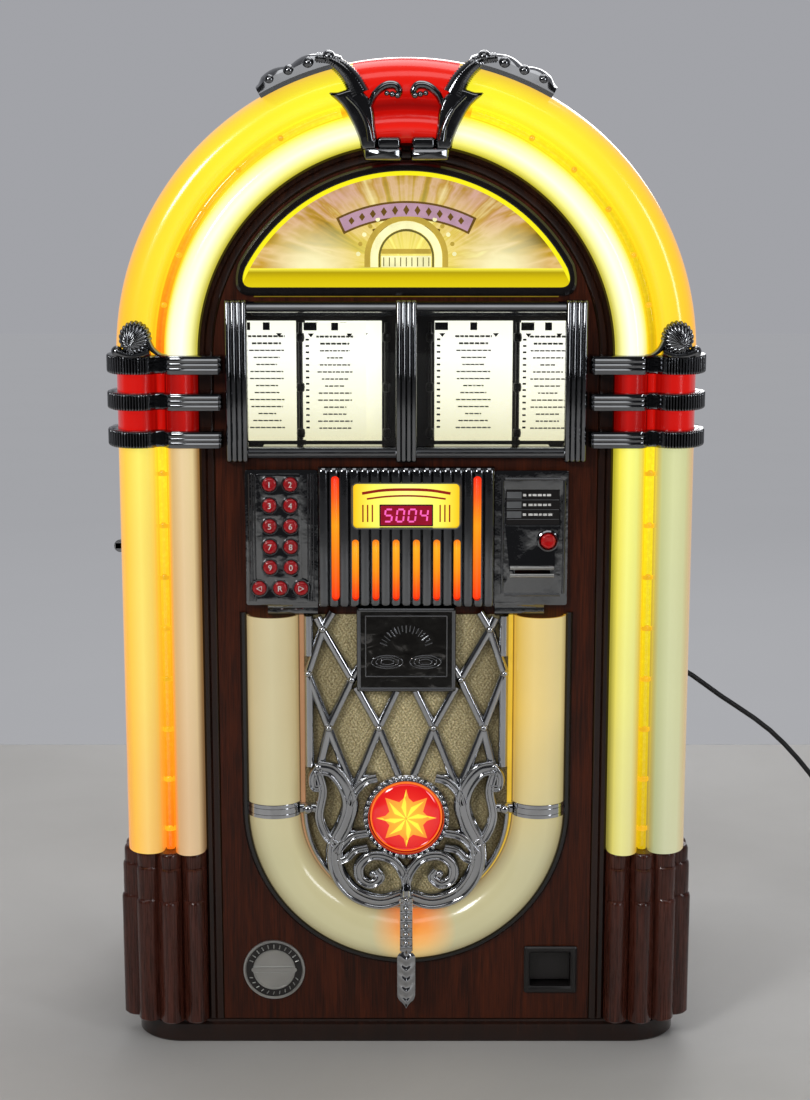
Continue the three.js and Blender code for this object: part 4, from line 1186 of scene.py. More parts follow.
def make_title_frame():
    b = Build()
    ends = ((0, 0.004), (0.0015, 0.0014), (0.004, 0))
    levels = [(TITLE_BOTTOM + d, sink) for d, sink in ends]
    levels += [(TITLE_TOP - d, sink) for d, sink in ends[::-1]]
    for x0, x1 in ((-TITLE_HALF, -0.199), (-0.013, 0.013), (0.199, TITLE_HALF)):
        fluted(b, x0, x1, FACE - 0.0175, 0.0032, 4, 0.5, levels)
    for z0, z1 in ((0.785, 0.799), (0.968, 0.982)):
        mid = (z0 + z1) / 2
        profile = [(BEHIND, z0), (FACE - 0.006, z0), (FACE - 0.0085, z0 + 0.0015),
                   (FACE - 0.0085, z0 + 0.0035),
                   (FACE - 0.0115, z0 + 0.0045), (FACE - 0.0125, mid), (FACE - 0.0115, z1 - 0.0045),
                   (FACE - 0.0085, z1 - 0.0035), (FACE - 0.0085, z1 - 0.0015), (FACE - 0.006, z1),
                   (BEHIND, z1)]
        for x0, x1 in ((-0.2, -0.0125), (0.0125, 0.2)):
            b.loft([[(x, y, z) for y, z in profile] for x in (x0, x1)])
    b.done("title_frame_cast", M["chrome_painted_dark_reflection"], "front_door", "chrome", ("title_frame",), sharp=32)
    glass = Build()
    glass.prism(rounded(-0.2049, 0.2049, 0.7906, 0.9774, 0.002), FACE + 0.0007, FACE + 0.0035)
    m = Mat("title_pane", Roughness=0.02, Transmission_Weight=1.0, IOR=1.45)
    m.colour(m.ramp(m.noise(3), [(0.3, (0.96, 0.98, 0.97, 1)), (0.7, 1)]))
    glass.done("title_pane", m.m, "front_door", "glass", ("title_glass",))


def page_material(name):
    """Paper lit from above: near white at the top, cream below."""
    m = Mat(name, Roughness=0.7)
    z = m.axes()[2]
    t = m.share(z, PAGE_LOW, PAGE_HIGH - PAGE_LOW)
    tone = m.ramp(t, [(0.0, (214, 210, 176)), (0.35, (240, 238, 214)), (0.75, (252, 252, 244)),
                      (1.0, (244, 244, 230))])
    fibre = m.ramp(m.noise(260, 4), [(0.3, 0.93), (0.7, 1)])
    tone = m.mix(0.7, tone, fibre, "MULTIPLY")
    m.lit(tone, 1.25, 0.3)
    return m.m


def page_print(b, x0, x1, y, seed):
    """Black number tabs at the top and short grey rows below."""
    top, middle = PAGE_HIGH, (x0 + x1) / 2
    b.mat = 1
    for x, half in ((x0 + 0.009, 0.0085), (middle, 0.0045)):
        b.box(x - half, x + half, y - PRINT, y, top - 0.012, top - 0.002)
    for x in (x0 + 0.010, x1 - 0.022):
        b.prism([(x - 0.004, top - 0.016), (x, top - 0.021), (x + 0.004, top - 0.016)], y - PRINT, y)
    b.mat = 2
    for k in range(14):
        z = top - 0.020 - 0.0092 * k
        length, thick = 0.010 + 0.013 * abs(math.sin(seed * 3.1 + k * 2.3)), 0.0009
        if k < 2:
            length, thick = 0.024 - 0.005 * k, 0.0013
        x = middle - length
        while x < middle + length:
            word = 0.003 + 0.003 * abs(math.sin(x * 900 + seed))
            b.box(x, min(x + word, middle + length), y - PRINT, y, z - thick, z + thick)
            x += word + 0.0012
    b.mat = 1
    for k in range(15):
        z = top - 0.024 - 0.0082 * k
        b.box(x0 + 0.003, x0 + 0.0075, y - PRINT, y, z - 0.0012, z + 0.0012)


PAGE_Y, LEAF_Y = -0.1231, -0.1305
PAGE_LOW, PAGE_HIGH = 0.795, 0.952
PRINT = 0.0003  # thickness of printed marks
LEAVES = [("right", 0.145, 0.076), ("left", -0.138, 0.086)]
FIXED_SPINES = [-0.026, 0.031]
BACK_PAGES = [(-0.221, -0.144), (-0.132, -0.032), (0.037, 0.139), (0.150, 0.220)]


def spine_rings(b, x):
    """Rod with three black rings that hold a stack of pages."""
    b.mat = 3
    b.lathe_z([(0, 0.797), (0.0024, 0.797), (0.0024, 0.950), (0, 0.950)], x, LEAF_Y, 16)
    for z in (0.806, 0.866, 0.931):
        b.lathe_z([(0.0024, z - 0.0065), (0.0050, z - 0.005), (0.0058, z), (0.0050, z + 0.005),
                   (0.0024, z + 0.0065)],
                  x, LEAF_Y, 16)


def make_pages():
    """Back pages in the box and two turning leaves."""
    paper = page_material("lit_paper")
    b = Build()
    for n, (x0, x1) in enumerate(BACK_PAGES):
        b.mat = 0
        b.box(x0, x1, PAGE_Y, PAGE_Y + 0.004, PAGE_LOW, PAGE_HIGH)
        page_print(b, x0, x1, PAGE_Y, n + 1)
    for x in FIXED_SPINES:
        spine_rings(b, x)
    b.mat = 3
    half, front, back, low, high = 0.224, FACE + 0.0189, -0.118, 0.784, 0.983
    b.box(-0.222, 0.222, back - 0.0025, back, 0.786, 0.981)
    for x0, x1 in ((-half, -0.2215), (0.2215, half)):
        b.box(x0, x1, front, back, low, high)
    for z0, z1 in ((low, 0.7862), (0.9808, high)):
        b.box(-half, half, front, back, z0, z1)
    b.mat = 4
    b.box(-0.2, 0.2, -0.150, -0.134, 0.960, 0.978)
    for x in (-0.105, 0.105):
        b.box(x - 0.08, x + 0.08, -0.176, -0.152, 0.788, 0.7935)
    mats = [paper, M["gloss_black"], M["grey_print"], M["black"], M["chrome_painted_dark_reflection"]]
    b.done("title_box_pages", mats, "front_door", "paper", ("title_box",))
    for tag, spine, wide in LEAVES:
        leaf = Build()
        leaf.box(spine + 0.003, spine + wide, LEAF_Y - 0.0007, LEAF_Y + 0.0007, 0.797, 0.950)
        page_print(leaf, spine + 0.004, spine + wide, LEAF_Y - 0.0007, 5 + spine)
        spine_rings(leaf, spine)
        leaf.done("title_page_" + tag, mats[:4], "title_leaf_" + tag, "paper", ("title_leaf_" + tag,))


make_window()
make_title_frame()
make_pages()


# ---------- keypad, display and coin plates ----------

KEY_R = 0.009
KEY_ROWS = (0.753, 0.726, 0.6995, 0.673, 0.6465)
KEY_COLUMNS = (-0.173, -0.1466)
PLATE = FACE - 0.009


def drilled(build, name, mat, body, slot, nodes, holes, bevel=0.0):
    """Finishes a build, then cuts round and boxed holes through it."""
    o = build.done(name, mat, body, slot, nodes)
    tool = Build()
    for hole in holes:
        if len(hole) == 3:
            x, z, r = hole
            tool.lathe([(r, FACE - 0.05), (r, FACE + 0.02)], x, z, 36)
        else:
            *outline, depth = hole
            tool.prism(rounded(*outline, 4), FACE - 0.05, FACE + depth)
    return cut_holes(o, tool, bevel)


def key_places():
    places = [("key_left", -0.187, 0.6195, "◁"), ("key_reset", -0.1604, 0.6195, "R"),
              ("key_right", -0.1338, 0.6195, "▷")]
    for row, z in enumerate(KEY_ROWS):
        for column, x in enumerate(KEY_COLUMNS):
            digit = (row * 2 + column + 1) % 10
            places.append((f"key_{digit}", x, z, str(digit)))
    return places


def text_mesh(text, size, depth):
    curve = bpy.data.curves.new("text", "FONT")
    curve.body = text
    curve.size = size
    curve.extrude = depth / 2
    curve.align_x = "CENTER"
    curve.align_y = "CENTER"
    o = bpy.data.objects.new("text", curve)
    bpy.context.scene.collection.objects.link(o)
    mesh = bpy.data.meshes.new_from_object(o.evaluated_get(bpy.context.evaluated_depsgraph_get()))
    bpy.data.objects.remove(o)
    mesh.transform(Matrix.Rotation(math.pi / 2, 4, "X"))
    xs = [v.co.x for v in mesh.vertices]
    zs = [v.co.z for v in mesh.vertices]
    mesh.transform(Matrix.Translation((-(min(xs) + max(xs)) / 2, 0, -(min(zs) + max(zs)) / 2)))
    return mesh


def dished_button(name, x, z, r, mat, body, node, mark=None):
    b = Build()
    front = FACE - 0.017
    b.lathe([(0, front + 0.0011), (r * 0.4, front + 0.0008), (r * 0.66, front), (r * 0.84, front + 0.0006),
             (r * 0.95, front + 0.0019), (r, front + 0.0036), (r, FACE - 0.0038),
             (0, FACE - 0.0038)], x, z, 40)
    b.done(name, [mat, M["white"]], body, "button_red", (node,), sharp=60)
    if mark:
        if mark in "◁▷":
            s = -1 if mark == "◁" else 1
            arrow = Build()
            corners = [(x - s * 0.003, z - 0.0033), (x + s * 0.0034, z), (x - s * 0.003, z + 0.0033)]
            for i in range(3):
                arrow.bar([corners[i], corners[(i + 1) % 3]], 0.0009, front + 0.0012, front + 0.0002)
            arrow.done(name + "_mark", M["white"], body, "paper")
        else:
            mesh = text_mesh(mark, 0.0105, 0.0008)
            mesh.materials.append(M["white"])
            mesh.transform(Matrix.Translation((x, front + 0.0007, z)))
            new_object(name + "_mark", mesh, body, "paper")


def make_keypad():
    b = Build()
    b.prism(rounded(-0.204, -0.1126, 0.597, 0.771, 0.003), PLATE, BEHIND)
    b.prism(rounded(-0.190, -0.133, 0.601, 0.766, 0.004), PLATE - 0.0025, PLATE + 0.002)
    ledge(b, -0.177, -0.113)
    holes = [(x, z, KEY_R + 0.0006) for _, x, z, _ in key_places()]
    drilled(b, "keypad_plate_cast", M["ripple_chrome_painted_dark_reflection"], "front_door", "chrome", ("keypad_plate",), holes,
            0.0006)
    b = Build()
    for name, x, z, mark in key_places():
        dished_button(name + "_cap", x, z, KEY_R, M["key"], name, name, mark)
        b.lathe([(KEY_R + 0.0003, PLATE - 0.0022), (KEY_R + 0.0008, PLATE - 0.0034),
                 (KEY_R + 0.0019, PLATE - 0.0034),
                 (KEY_R + 0.0024, PLATE - 0.0024), (KEY_R + 0.0018, PLATE - 0.001),
                 (KEY_R + 0.0004, PLATE - 0.001)],
                x, z, 36)
    for k in range(3):
        for x in (-0.199 + 0.0035 * k, -0.1247 + 0.0035 * k):
            b.bar([(x, 0.602), (x, 0.766)], 0.0022, PLATE + 0.0005, PLATE - 0.0012)
    b.done("keypad_rings", M["chrome_painted_dark_reflection"], "front_door", "chrome", sharp=40)


def ledge(b, x0, x1):
    """Sill that joins a plate to the top of the U-shaped light."""
    profile = [(BEHIND, 0.584), (PLATE + 0.002, 0.584), (PLATE - 0.001, 0.5865), (PLATE - 0.001, 0.5915),
               (PLATE + 0.0012, 0.5935), (PLATE, 0.600), (BEHIND, 0.600)]
    b.loft([[(x, y, z) for y, z in profile] for x in (min(x0, x1), max(x0, x1))])


SLOT_XS = [0.0258 * k - 0.0645 for k in range(6)]
SLOT_LOW, SLOT_HIGH, LONG_SLOT_X, LONG_SLOT_HIGH = 0.604, 0.683, 0.090, 0.764


def make_display():
    b = Build()
    levels = [(0.595, 0.0052), (0.5962, 0.0022), (0.599, 0.0004), (0.602, 0), (0.768, 0), (0.771, 0.0004),
              (0.7738, 0.0022), (0.775, 0.0052)]
    fluted(b, -0.1115, 0.1115, FACE - 0.0165, 0.0042, 17, 0.45, levels)
    holes = [(-0.069, 0.069, 0.696, 0.756, 0.007, 0.02)]
    holes += [(x - 0.0043, x + 0.0043, SLOT_LOW, SLOT_HIGH, 0.0041, 0.02) for x in SLOT_XS]
    holes += [(x - 0.0048, x + 0.0048, SLOT_LOW, LONG_SLOT_HIGH, 0.0046, 0.02)
              for x in (-LONG_SLOT_X, LONG_SLOT_X)]
    drilled(b, "display_cast", M["chrome_painted_dark_reflection"], "front_door", "chrome", ("display_casting",), holes)
    display_light()
    b = Build()
    rim = rounded(-0.0688, 0.0688, 0.6962, 0.7558, 0.0068, 8)
    inner = rounded(-0.0672, 0.0672, 0.6978, 0.7542, 0.0054, 8)
    rows = [(rim, FACE - 0.006), (rim, FACE - 0.0164), (inner, FACE - 0.0164), (inner, FACE - 0.006)]
    b.ring(rows)
    b.done("display_window_rim", M["chrome"], "front_door", "chrome")
    display_digits()


def display_light():
    """Glowing slots: orange fading at their ends, and the yellow window."""
    m = Mat("display_glow", Roughness=0.3)
    x, _, z = m.axes()
    x = m.math("ABSOLUTE", x)
    short = m.ramp(m.share(z, SLOT_LOW, SLOT_HIGH - SLOT_LOW),
                   [(0.0, (255, 50, 16)), (0.22, (255, 100, 18)), (0.5, (255, 150, 22)),
                    (0.85, (255, 176, 34)), (1.0, (255, 120, 24))])
    far = m.ramp(m.share(z, SLOT_LOW, LONG_SLOT_HIGH - SLOT_LOW),
                 [(0.0, (255, 56, 20)), (0.3, (255, 120, 22)), (0.6, (255, 160, 26)),
                  (0.82, (255, 96, 28)), (1.0, (255, 44, 24))])
    panel = m.ramp(m.math("DIVIDE", x, 0.069), [(0.0, (255, 255, 140)), (0.6, (255, 250, 96)),
                                                (0.92, (255, 214, 40)), (1.0, (250, 190, 20))])
    colour = m.mix(m.math("GREATER_THAN", x, 0.08), short, far)
    is_panel = m.math("MULTIPLY", m.math("GREATER_THAN", z, 0.69), m.math("LESS_THAN", x, 0.075))
    colour = m.mix(is_panel, colour, panel)
    m.lit(colour, 1.0, 0.12)
    b = Build()
    b.prism(rounded(-0.0965, 0.0965, 0.6005, 0.7695, 0.002), FACE - 0.0055, BEHIND)
    b.done("display_light_panel", m.m, "front_door", "backlight", ("display_backlight",))
    b = Build()
    y0, y1 = FACE - 0.0125, FACE - 0.0058
    for x in SLOT_XS:
        half_round(b, x, 0.0040, y1, y0, SLOT_LOW + 0.0003, SLOT_HIGH - 0.0003)
    for x in (-LONG_SLOT_X, LONG_SLOT_X):
        half_round(b, x, 0.0045, y1, y0, SLOT_LOW + 0.0003, LONG_SLOT_HIGH - 0.0003)
    b.done("display_rods", m.m, "front_door", "lamp_amber", sharp=60)


def half_round(b, x, r, back, front, z0, z1):
    loops = []
    for k, z in enumerate((z0, z0 + r * 0.3, z0 + r, z1 - r, z1 - r * 0.3, z1)):
        s = (0.3, 0.75, 1, 1, 0.75, 0.3)[k]
        loops.append([(x + r * s * c, back + (front - back) * s * q, z) for c,
                      q in arc(0, 0, 1, half_turn(12))])
    b.loft(loops)


SEGMENTS = {"5": "afgcd", "0": "abcdef", "4": "fgbc"}
LEAN = 0.12  # sideways share of the digits' height


def display_digits():
    """Red seven-segment counter in a dark window with generic bars of print above it."""
    y = FACE - 0.0058
    b = Build()
    b.prism(rounded(-0.034, 0.034, 0.6985, 0.7265, 0.001), y - 0.0012, y)
    b.done("counter_window", M["gloss_black"], "front_door", "black_plastic")
    glow = print_glow("counter_segments", (255, 100, 190), 1.1)
    back = print_glow("counter_red", (158, 4, 40), 0.8)
    b = Build()
    b.mat = 1
    b.prism(rounded(-0.0325, 0.0325, 0.7, 0.725, 0.001), y - 0.0016, y - 0.001)
    b.mat = 0
    w, h, t = 0.0044, 0.0078, 0.0011
    for n, digit in enumerate("5004"):
        cx, cz = -0.0225 + 0.015 * n, 0.7125
        lines = {"a": ((-w, h), (w, h)), "g": ((-w, 0), (w, 0)), "d": ((-w, -h), (w, -h)),
                 "f": ((-w, 0), (-w, h)),
                 "b": ((w, 0), (w, h)), "e": ((-w, -h), (-w, 0)), "c": ((w, -h), (w, 0))}
        for key in SEGMENTS[digit]:
            (x0, z0), (x1, z1) = lines[key]
            p, q = Vector((cx + x0 + z0 * LEAN, cz + z0)), Vector((cx + x1 + z1 * LEAN, cz + z1))
            d = (q - p).normalized() * t * 0.9
            b.bar([p + d, q - d], 2 * t, y - 0.0014, y - 0.0022)
    b.done("counter_digits", [glow, back], "front_door", "backlight")
    paint = print_glow("display_print", (176, 28, 16), 0.6)
    b = Build()
    b.bar([(-0.056, 0.7405), (-0.030, 0.7445), (0, 0.7455), (0.030, 0.7445), (0.056, 0.7405)], 0.0035, y,
          y - 0.0004, 6)
    b.bar([(-0.050, 0.7335), (-0.026, 0.7365), (0, 0.7375), (0.026, 0.7365), (0.050, 0.7335)], 0.0022, y,
          y - 0.0004, 6)
    for s in (-1, 1):
        for x in (s * 0.043, s * 0.049, s * 0.055):
            b.bar([(x, 0.704), (x, 0.726)], 0.0018, y, y - 0.0004)
    b.done("display_ornament", paint, "front_door", "art")


REJECT_X, REJECT_Z = 0.180, 0.6805


def make_coin_plate():
    b = Build()
    b.prism(rounded(0.1124, 0.205, 0.597, 0.770, 0.003), PLATE, BEHIND)
    b.prism(rounded(0.131, 0.189, 0.633, 0.648, 0.003), PLATE - 0.003, PLATE + 0.002)
    ledge(b, 0.113, 0.176)
    holes = [(0.138, 0.183, 0.6385, 0.643, 0.001, 0.01), (0.125, 0.196, 0.699, 0.747, 0.003, -0.006),
             (REJECT_X, REJECT_Z, 0.0102)]
    drilled(b, "coin_plate_cast", M["ripple_chrome_painted_dark_reflection"], "front_door", "chrome", ("coin_plate",), holes, 0.0006)
    name = "coin_reject_button"
    dished_button("coin_reject_cap", REJECT_X, REJECT_Z, 0.0096, M["reject"], name, name)
    b = Build()
    card = FACE - 0.0062
    b.box(0.1265, 0.1945, card, FACE - 0.0058, 0.7005, 0.7455)
    for k in range(3):
        z = 0.7385 - 0.0125 * k
        b.mat = 1
        b.box(0.148, 0.152, card - PRINT, card, z - 0.0016, z + 0.0016)
        x = 0.155
        for n in range(5):
            wide = 0.0035 + 0.002 * abs(math.sin(n * 2.1 + k))
            b.box(x, x + wide, card - PRINT, card, z - 0.0014, z + 0.0014)
            x += wide + 0.0014
        b.mat = 2
        b.box(0.1275, 0.146, card - PRINT, card, z - 0.0042, z + 0.0042)
        b.box(0.1275, 0.1935, card - PRINT, card, z - 0.0064, z - 0.0058)
    b.done("price_card", [M["gloss_black"], M["white"], M["steel"]], "front_door", "paper")
    b = Build()
    b.lathe([(0.0100, PLATE), (0.0104, PLATE - 0.0035), (0.0118, PLATE - 0.0045), (0.0136, PLATE - 0.0035),
             (0.0142, PLATE)], REJECT_X, REJECT_Z, 40)
    for z in (0.6105, 0.7595):
        b.bar([(0.125, z), (0.196, z)], 0.004, PLATE + 0.0005, PLATE - 0.0018)
    for x in (0.122, 0.200):
        b.bar([(x, 0.612), (x, 0.757)], 0.0035, PLATE + 0.0005, PLATE - 0.0018)
    b.mat = 1
    for z in (0.6358, 0.6456):
        b.bar([(0.132, z), (0.188, z)], 0.0048, PLATE - 0.0022, PLATE - 0.0046, 3)
    b.done("coin_plate_trim", [M["chrome_painted_dark_reflection"], M["satin"]], "front_door", "chrome", sharp=40)


make_keypad()
make_display()
make_coin_plate()


# ---------- U-shaped light and grille ----------

def u_material():
    """Cream plastic lit from behind: orange at the bottom, amber at the right."""
    m = Mat("u_light_cream", Roughness=0.2, Coat_Weight=0.5, Coat_Roughness=0.04)
    x, _, z = m.axes()
    across = m.section()[0]
    left = m.ramp(across, [(0.0, (120, 100, 66)), (0.18, (186, 170, 128)), (0.5, (204, 192, 152)),
                           (0.82, (196, 178, 134)), (1.0, (150, 126, 84))])
    right = m.ramp(across, [(0.0, (190, 140, 40)), (0.2, (230, 190, 80)), (0.42, (234, 206, 130)),
                            (0.8, (214, 196, 138)), (1.0, (150, 126, 70))])
    low = m.ramp(across, [(0.0, (140, 120, 84)), (0.3, (196, 188, 146)), (0.6, (192, 186, 146)),
                          (1.0, (130, 118, 84))])
    side = m.ramp(m.math("ADD", m.math("MULTIPLY", x, 2.4), 0.5), [(0.1, 0), (0.9, 1)])
    upper = m.mix(side, left, right)
    rise = m.share(z, 0.26, 0.2, True)
    colour = m.mix(rise, low, upper)
    dz = m.share(z, 0.165, 0.055)
    dx = m.math("DIVIDE", m.math("ADD", x, -0.010), 0.056)
    spot = m.distance(dx, dz)
    heat = m.ramp(spot, [(0.0, 1), (0.35, 0.85), (1.0, 0)])
    warm = m.ramp(across, [(0.0, (250, 110, 30)), (0.35, (252, 150, 60)), (0.75, (255, 206, 116)),
                           (1.0, (240, 180, 90))])
    colour = m.mix(heat, colour, warm)
    clouds = m.ramp(m.noise(9, 4), [(0.3, (0.93, 0.93, 0.92, 1)), (0.7, 1)])
    colour = m.mix(0.8, colour, clouds, "MULTIPLY")
    m.lit(colour, 0.80, 0.4)
    m.bump(m.noise(14, 2), 0.03, 0.002)
    return m.m


def u_loops(section, straight=24, turn=72, top=U_TOP):
    """Carries an (x, y) section down the right side, round the bottom and up the left."""
    loops = [[(x, y, top + (U_Z - top) * k / straight) for x, y in section] for k in range(straight)]
    for k in range(turn + 1):
        a = math.pi * k / turn
        loops.append([(x * math.cos(a), y, U_Z - x * math.sin(a)) for x, y in section])
    loops += [[(-x, y, U_Z + (top - U_Z) * k / straight) for x, y in section] for k in range(1, straight + 1)]
    return loops


def u_section(grow=0.0, steps=24):
    middle, half = (U_OUT + U_IN) / 2, (U_OUT - U_IN) / 2
    return [(middle - (half + grow) * math.cos(math.pi * k / steps),
             BEHIND - (U_PROUD + grow) * math.sin(math.pi * k / steps)) for k in range(steps + 1)]


def make_u_light():
    outer, inner = u_section(), u_section(-0.003)[::-1]
    us = [k / 24 for k in range(25)]
    b = Build()
    b.loft(u_loops(outer + inner), us + us[::-1] + [0])
    b.done("u_light_lens", u_material(), "front_door", "lamp_cream", ("u_light_tube",), sharp=60)
    bezel = Build()
    out = [(U_OUT + 0.0004, BEHIND), (U_OUT + 0.0004, FACE - 0.0052), (U_OUT + 0.002, FACE - 0.0066),
           (U_OUT + 0.0058, FACE - 0.006), (U_OUT + 0.0084, FACE - 0.003), (U_OUT + 0.009, BEHIND)]
    bezel.loft(u_loops(out, top=0.5865))
    bezel.done("u_light_bezel", M["gloss_black"], "front_door", "dark_frame", sharp=34)
    flange = Build()
    inside = [(U_IN - 0.0068, FACE - 0.005), (U_IN - 0.006, FACE - 0.0062), (U_IN - 0.002, FACE - 0.0062),
              (U_IN - 0.0008, FACE - 0.005), (U_IN - 0.0008, FACE - 0.0045), (U_IN - 0.0068, FACE - 0.0045)]
    flange.loft(u_loops(inside))
    m = Mat("u_flange_glow", Roughness=0.3, Coat_Weight=0.3)
    across = m.math("ADD", m.math("MULTIPLY", m.axes()[0], 3.4), 0.5)
    tone = m.ramp(across, [(0.02, (176, 128, 92)), (0.3, (150, 130, 96)), (0.6, (170, 150, 96)),
                           (0.98, (240, 196, 54))])
    tone = m.mix(0.7, tone, m.ramp(m.noise(24, 4), [(0.3, (0.8, 0.78, 0.74, 1)), (0.7, 1)]), "MULTIPLY")
    m.lit(tone, 0.8, 0.4)
    flange.done("u_light_flange", m.m, "front_door", "lamp_cream", sharp=34)


def cloth_material():
    """Gold and grey brocade with rows of lozenges, painted glints, and painted shade towards its edges."""
    m = Mat("brocade", Roughness=0.62, Metallic=0.15)
    x, _, z = m.axes()
    fx, fz = [m.math("ABSOLUTE", m.math("SUBTRACT", m.math("FRACT", m.math("ADD", cells, 100)), 0.5))
              for cells in (m.math("MULTIPLY", x, 26), m.math("MULTIPLY", z, 17))]
    lozenge = m.math("ADD", fx, fz)
    rings = m.math("FRACT", m.math("MULTIPLY", lozenge, 4))
    weave = m.noise(900, 3, (1, 1, 0.6))
    base = m.ramp(rings, [(0.2, (180, 164, 118)), (0.42, (222, 208, 158)), (0.6, (150, 132, 88)),
                          (0.85, (214, 196, 146))])
    # Random mottle of the threads, with near-white specks that are painted glints.
    mottle_and_glints = m.ramp(m.noise(420, 3), [(0.38, (96, 82, 50)), (0.5, (184, 170, 124)),
                                       (0.62, (255, 246, 210))])
    colour = m.mix(0.42, base, mottle_and_glints)
    thread = m.ramp(weave, [(0.3, 0.4), (0.7, 1)])
    colour = m.mix(0.8, colour, thread, "MULTIPLY")
    # Painted light in the middle of the cloth, fading to painted shade towards its left and right edges.
    edge = m.ramp(m.math("DIVIDE", m.math("ABSOLUTE", x), 0.14),
                  [(0.3, 1.5), (0.95, (0.6, 0.57, 0.5, 1))])
    colour = m.mix(1.0, colour, edge, "MULTIPLY")
    m.colour(colour)
    m.bump(weave, 0.6, 0.0008)
    return m.m


def make_cloth():
    b = Build()
    half = 0.135
    outline = [(half, U_TOP)] + arc(0, U_Z, half, [-a for a in half_turn(64)]) + [(-half, U_TOP)]
    b.prism(outline[::-1], FACE - 0.004, BEHIND)
    b.done("speaker_brocade", cloth_material(), "front_door", "cloth", ("speaker_cloth",))


LATTICE = [
    [(0.107, 0.566), (0.114, 0.581)], [(0.107, 0.566), (0.094, 0.588)], [(0.107, 0.566), (0.126, 0.508)],
    [(0.107, 0.566), (0.070, 0.500)], [(0.126, 0.508), (0.100, 0.436)], [(0.070, 0.500), (0.100, 0.436)],
    [(0.070, 0.500), (0.058, 0.520)], [(0.064, 0.490), (0.035, 0.436)], [(0.012, 0.485), (0.035, 0.436)],
    [(0.100, 0.436), (0.068, 0.350)], [(0.100, 0.436), (0.112, 0.382)], [(0.035, 0.436), (0.068, 0.350)],
    [(0.035, 0.436), (0.010, 0.372)], [(0.125, 0.583), (0.125, 0.531)], [(0.125, 0.508), (0.125, 0.384)],
]
SCROLLS = [
    (0.0250, [(0.114, 0.384), (0.095, 0.379), (0.079, 0.358), (0.073, 0.333), (0.080, 0.307), (0.092, 0.280),
              (0.091, 0.245), (0.070, 0.214), (0.035, 0.201), (0.0, 0.210)]),
    (0.0165, [(0.000, 0.205), (0.002, 0.235), (0.018, 0.259), (0.043, 0.265), (0.060, 0.252), (0.060, 0.234),
              (0.046, 0.226), (0.034, 0.235), (0.040, 0.245)]),
    (0.0150, [(0.114, 0.380), (0.108, 0.352), (0.113, 0.318), (0.104, 0.292), (0.092, 0.280)]),
    (0.0145, [(0.092, 0.268), (0.072, 0.290), (0.050, 0.296)]),
    (0.0130, [(0.114, 0.384), (0.121, 0.372), (0.120, 0.358), (0.110, 0.356)]),
    (0.0150, [(0.073, 0.333), (0.066, 0.352), (0.052, 0.366), (0.038, 0.370)]),
    (0.0120, [(0.088, 0.256), (0.076, 0.262), (0.066, 0.272), (0.050, 0.276)]),
]


def make_grille():
    b = Build()
    for bar in LATTICE:
        b.bar(bar, 0.0122, GRILLE_BACK, GRILLE_FRONT)
    for width, line in SCROLLS:
        b.bar(line, width, GRILLE_BACK, GRILLE_FRONT - 0.003, 8,
              lambda t: 0.7 + 0.3 * math.sin(math.pi * min(t, 0.8)))
        for side in (-1, 1):
            edge = offset_line([tuple(p) for p in spline(line, 6)], side * 0.27 * width)
            b.bar(edge, 0.22 * width, GRILLE_FRONT - 0.0018, GRILLE_FRONT - 0.0046)
    b.bead(0.043, GRILLE_FRONT, 0.240, 0.0055, 8, 16)
    for x, z, r in ((0.107, 0.566, 0.005), (0.126, 0.508, 0.005), (0.070, 0.500, 0.0048),
                    (0.100, 0.436, 0.0055),
                    (0.035, 0.436, 0.005), (0.068, 0.350, 0.005), (0.114, 0.384, 0.006)):
        b.bead(x, GRILLE_FRONT + 0.0015, z, r, 6, 14)
    b.mirror()
    b.bar(arc(0, U_Z, 0.131, [-a for a in half_turn(48)]), 0.007, GRILLE_BACK, GRILLE_FRONT + 0.001)
    medal_ring(b)
    tube_clips(b)
    drop(b)
    b.done("grille_cast", M["chrome"], "front_door", "chrome", ("grille_lattice",), sharp=34)
    card = Build()
    card.prism(rounded(-0.0635, 0.0635, 0.485, 0.5944, 0.003), GRILLE_BACK, GRILLE_FRONT - 0.001)
    card.mat = 1
    for half, low, high, wide in ((0.0605, 0.488, 0.5915, 0.005), (0.052, 0.505, 0.584, 0.0022)):
        corners = [(-half, low), (half, low), (half, high), (-half, high)]
        for i in range(4):
            card.bar([corners[i], corners[(i + 1) % 4]], wide, GRILLE_FRONT - 0.0005, GRILLE_FRONT - 0.0024)
    for s in (-1, 1):
        for scale in (1.0, 0.72, 0.42):
            oval = [(s * 0.0245 + 0.020 * p, 0.524 + 0.0085 * q) for p, q in arc(0, 0, scale, turns(30))]
            card.bar(oval + [oval[0]], 0.0018, GRILLE_FRONT - 0.0008, GRILLE_FRONT - 0.0018)
    for k in range(17):
        a = math.pi * (0.12 + 0.76 * k / 16)
        ray = arc(0, 0.536, 0.026 + 0.002 * (k % 2), [a]) + arc(0, 0.536, 0.036, [a])
        card.bar(ray, 0.0022, GRILLE_FRONT - 0.0008, GRILLE_FRONT - 0.0018)
    card.done("card_plate", [card_material(), M["chrome_painted_dark_reflection"]], "front_door", "black_plastic", sharp=40)


def card_material():
    """Smoked glossy plate with soft streaks."""
    m = Mat("smoked_plate", Roughness=0.14, Metallic=0.7)
    swirl = m.noise(26, 5, (1, 1, 1.8), 2.2)
    m.colour(m.ramp(swirl, [(0.4, (0.010, 0.009, 0.008, 1)), (0.58, (0.02, 0.019, 0.017, 1)),
                            (0.7, (0.12, 0.115, 0.11, 1))]))
    m.bump(m.noise(30, 3, (1, 1, 1), 1.5), 0.35, 0.002)
    return m.m


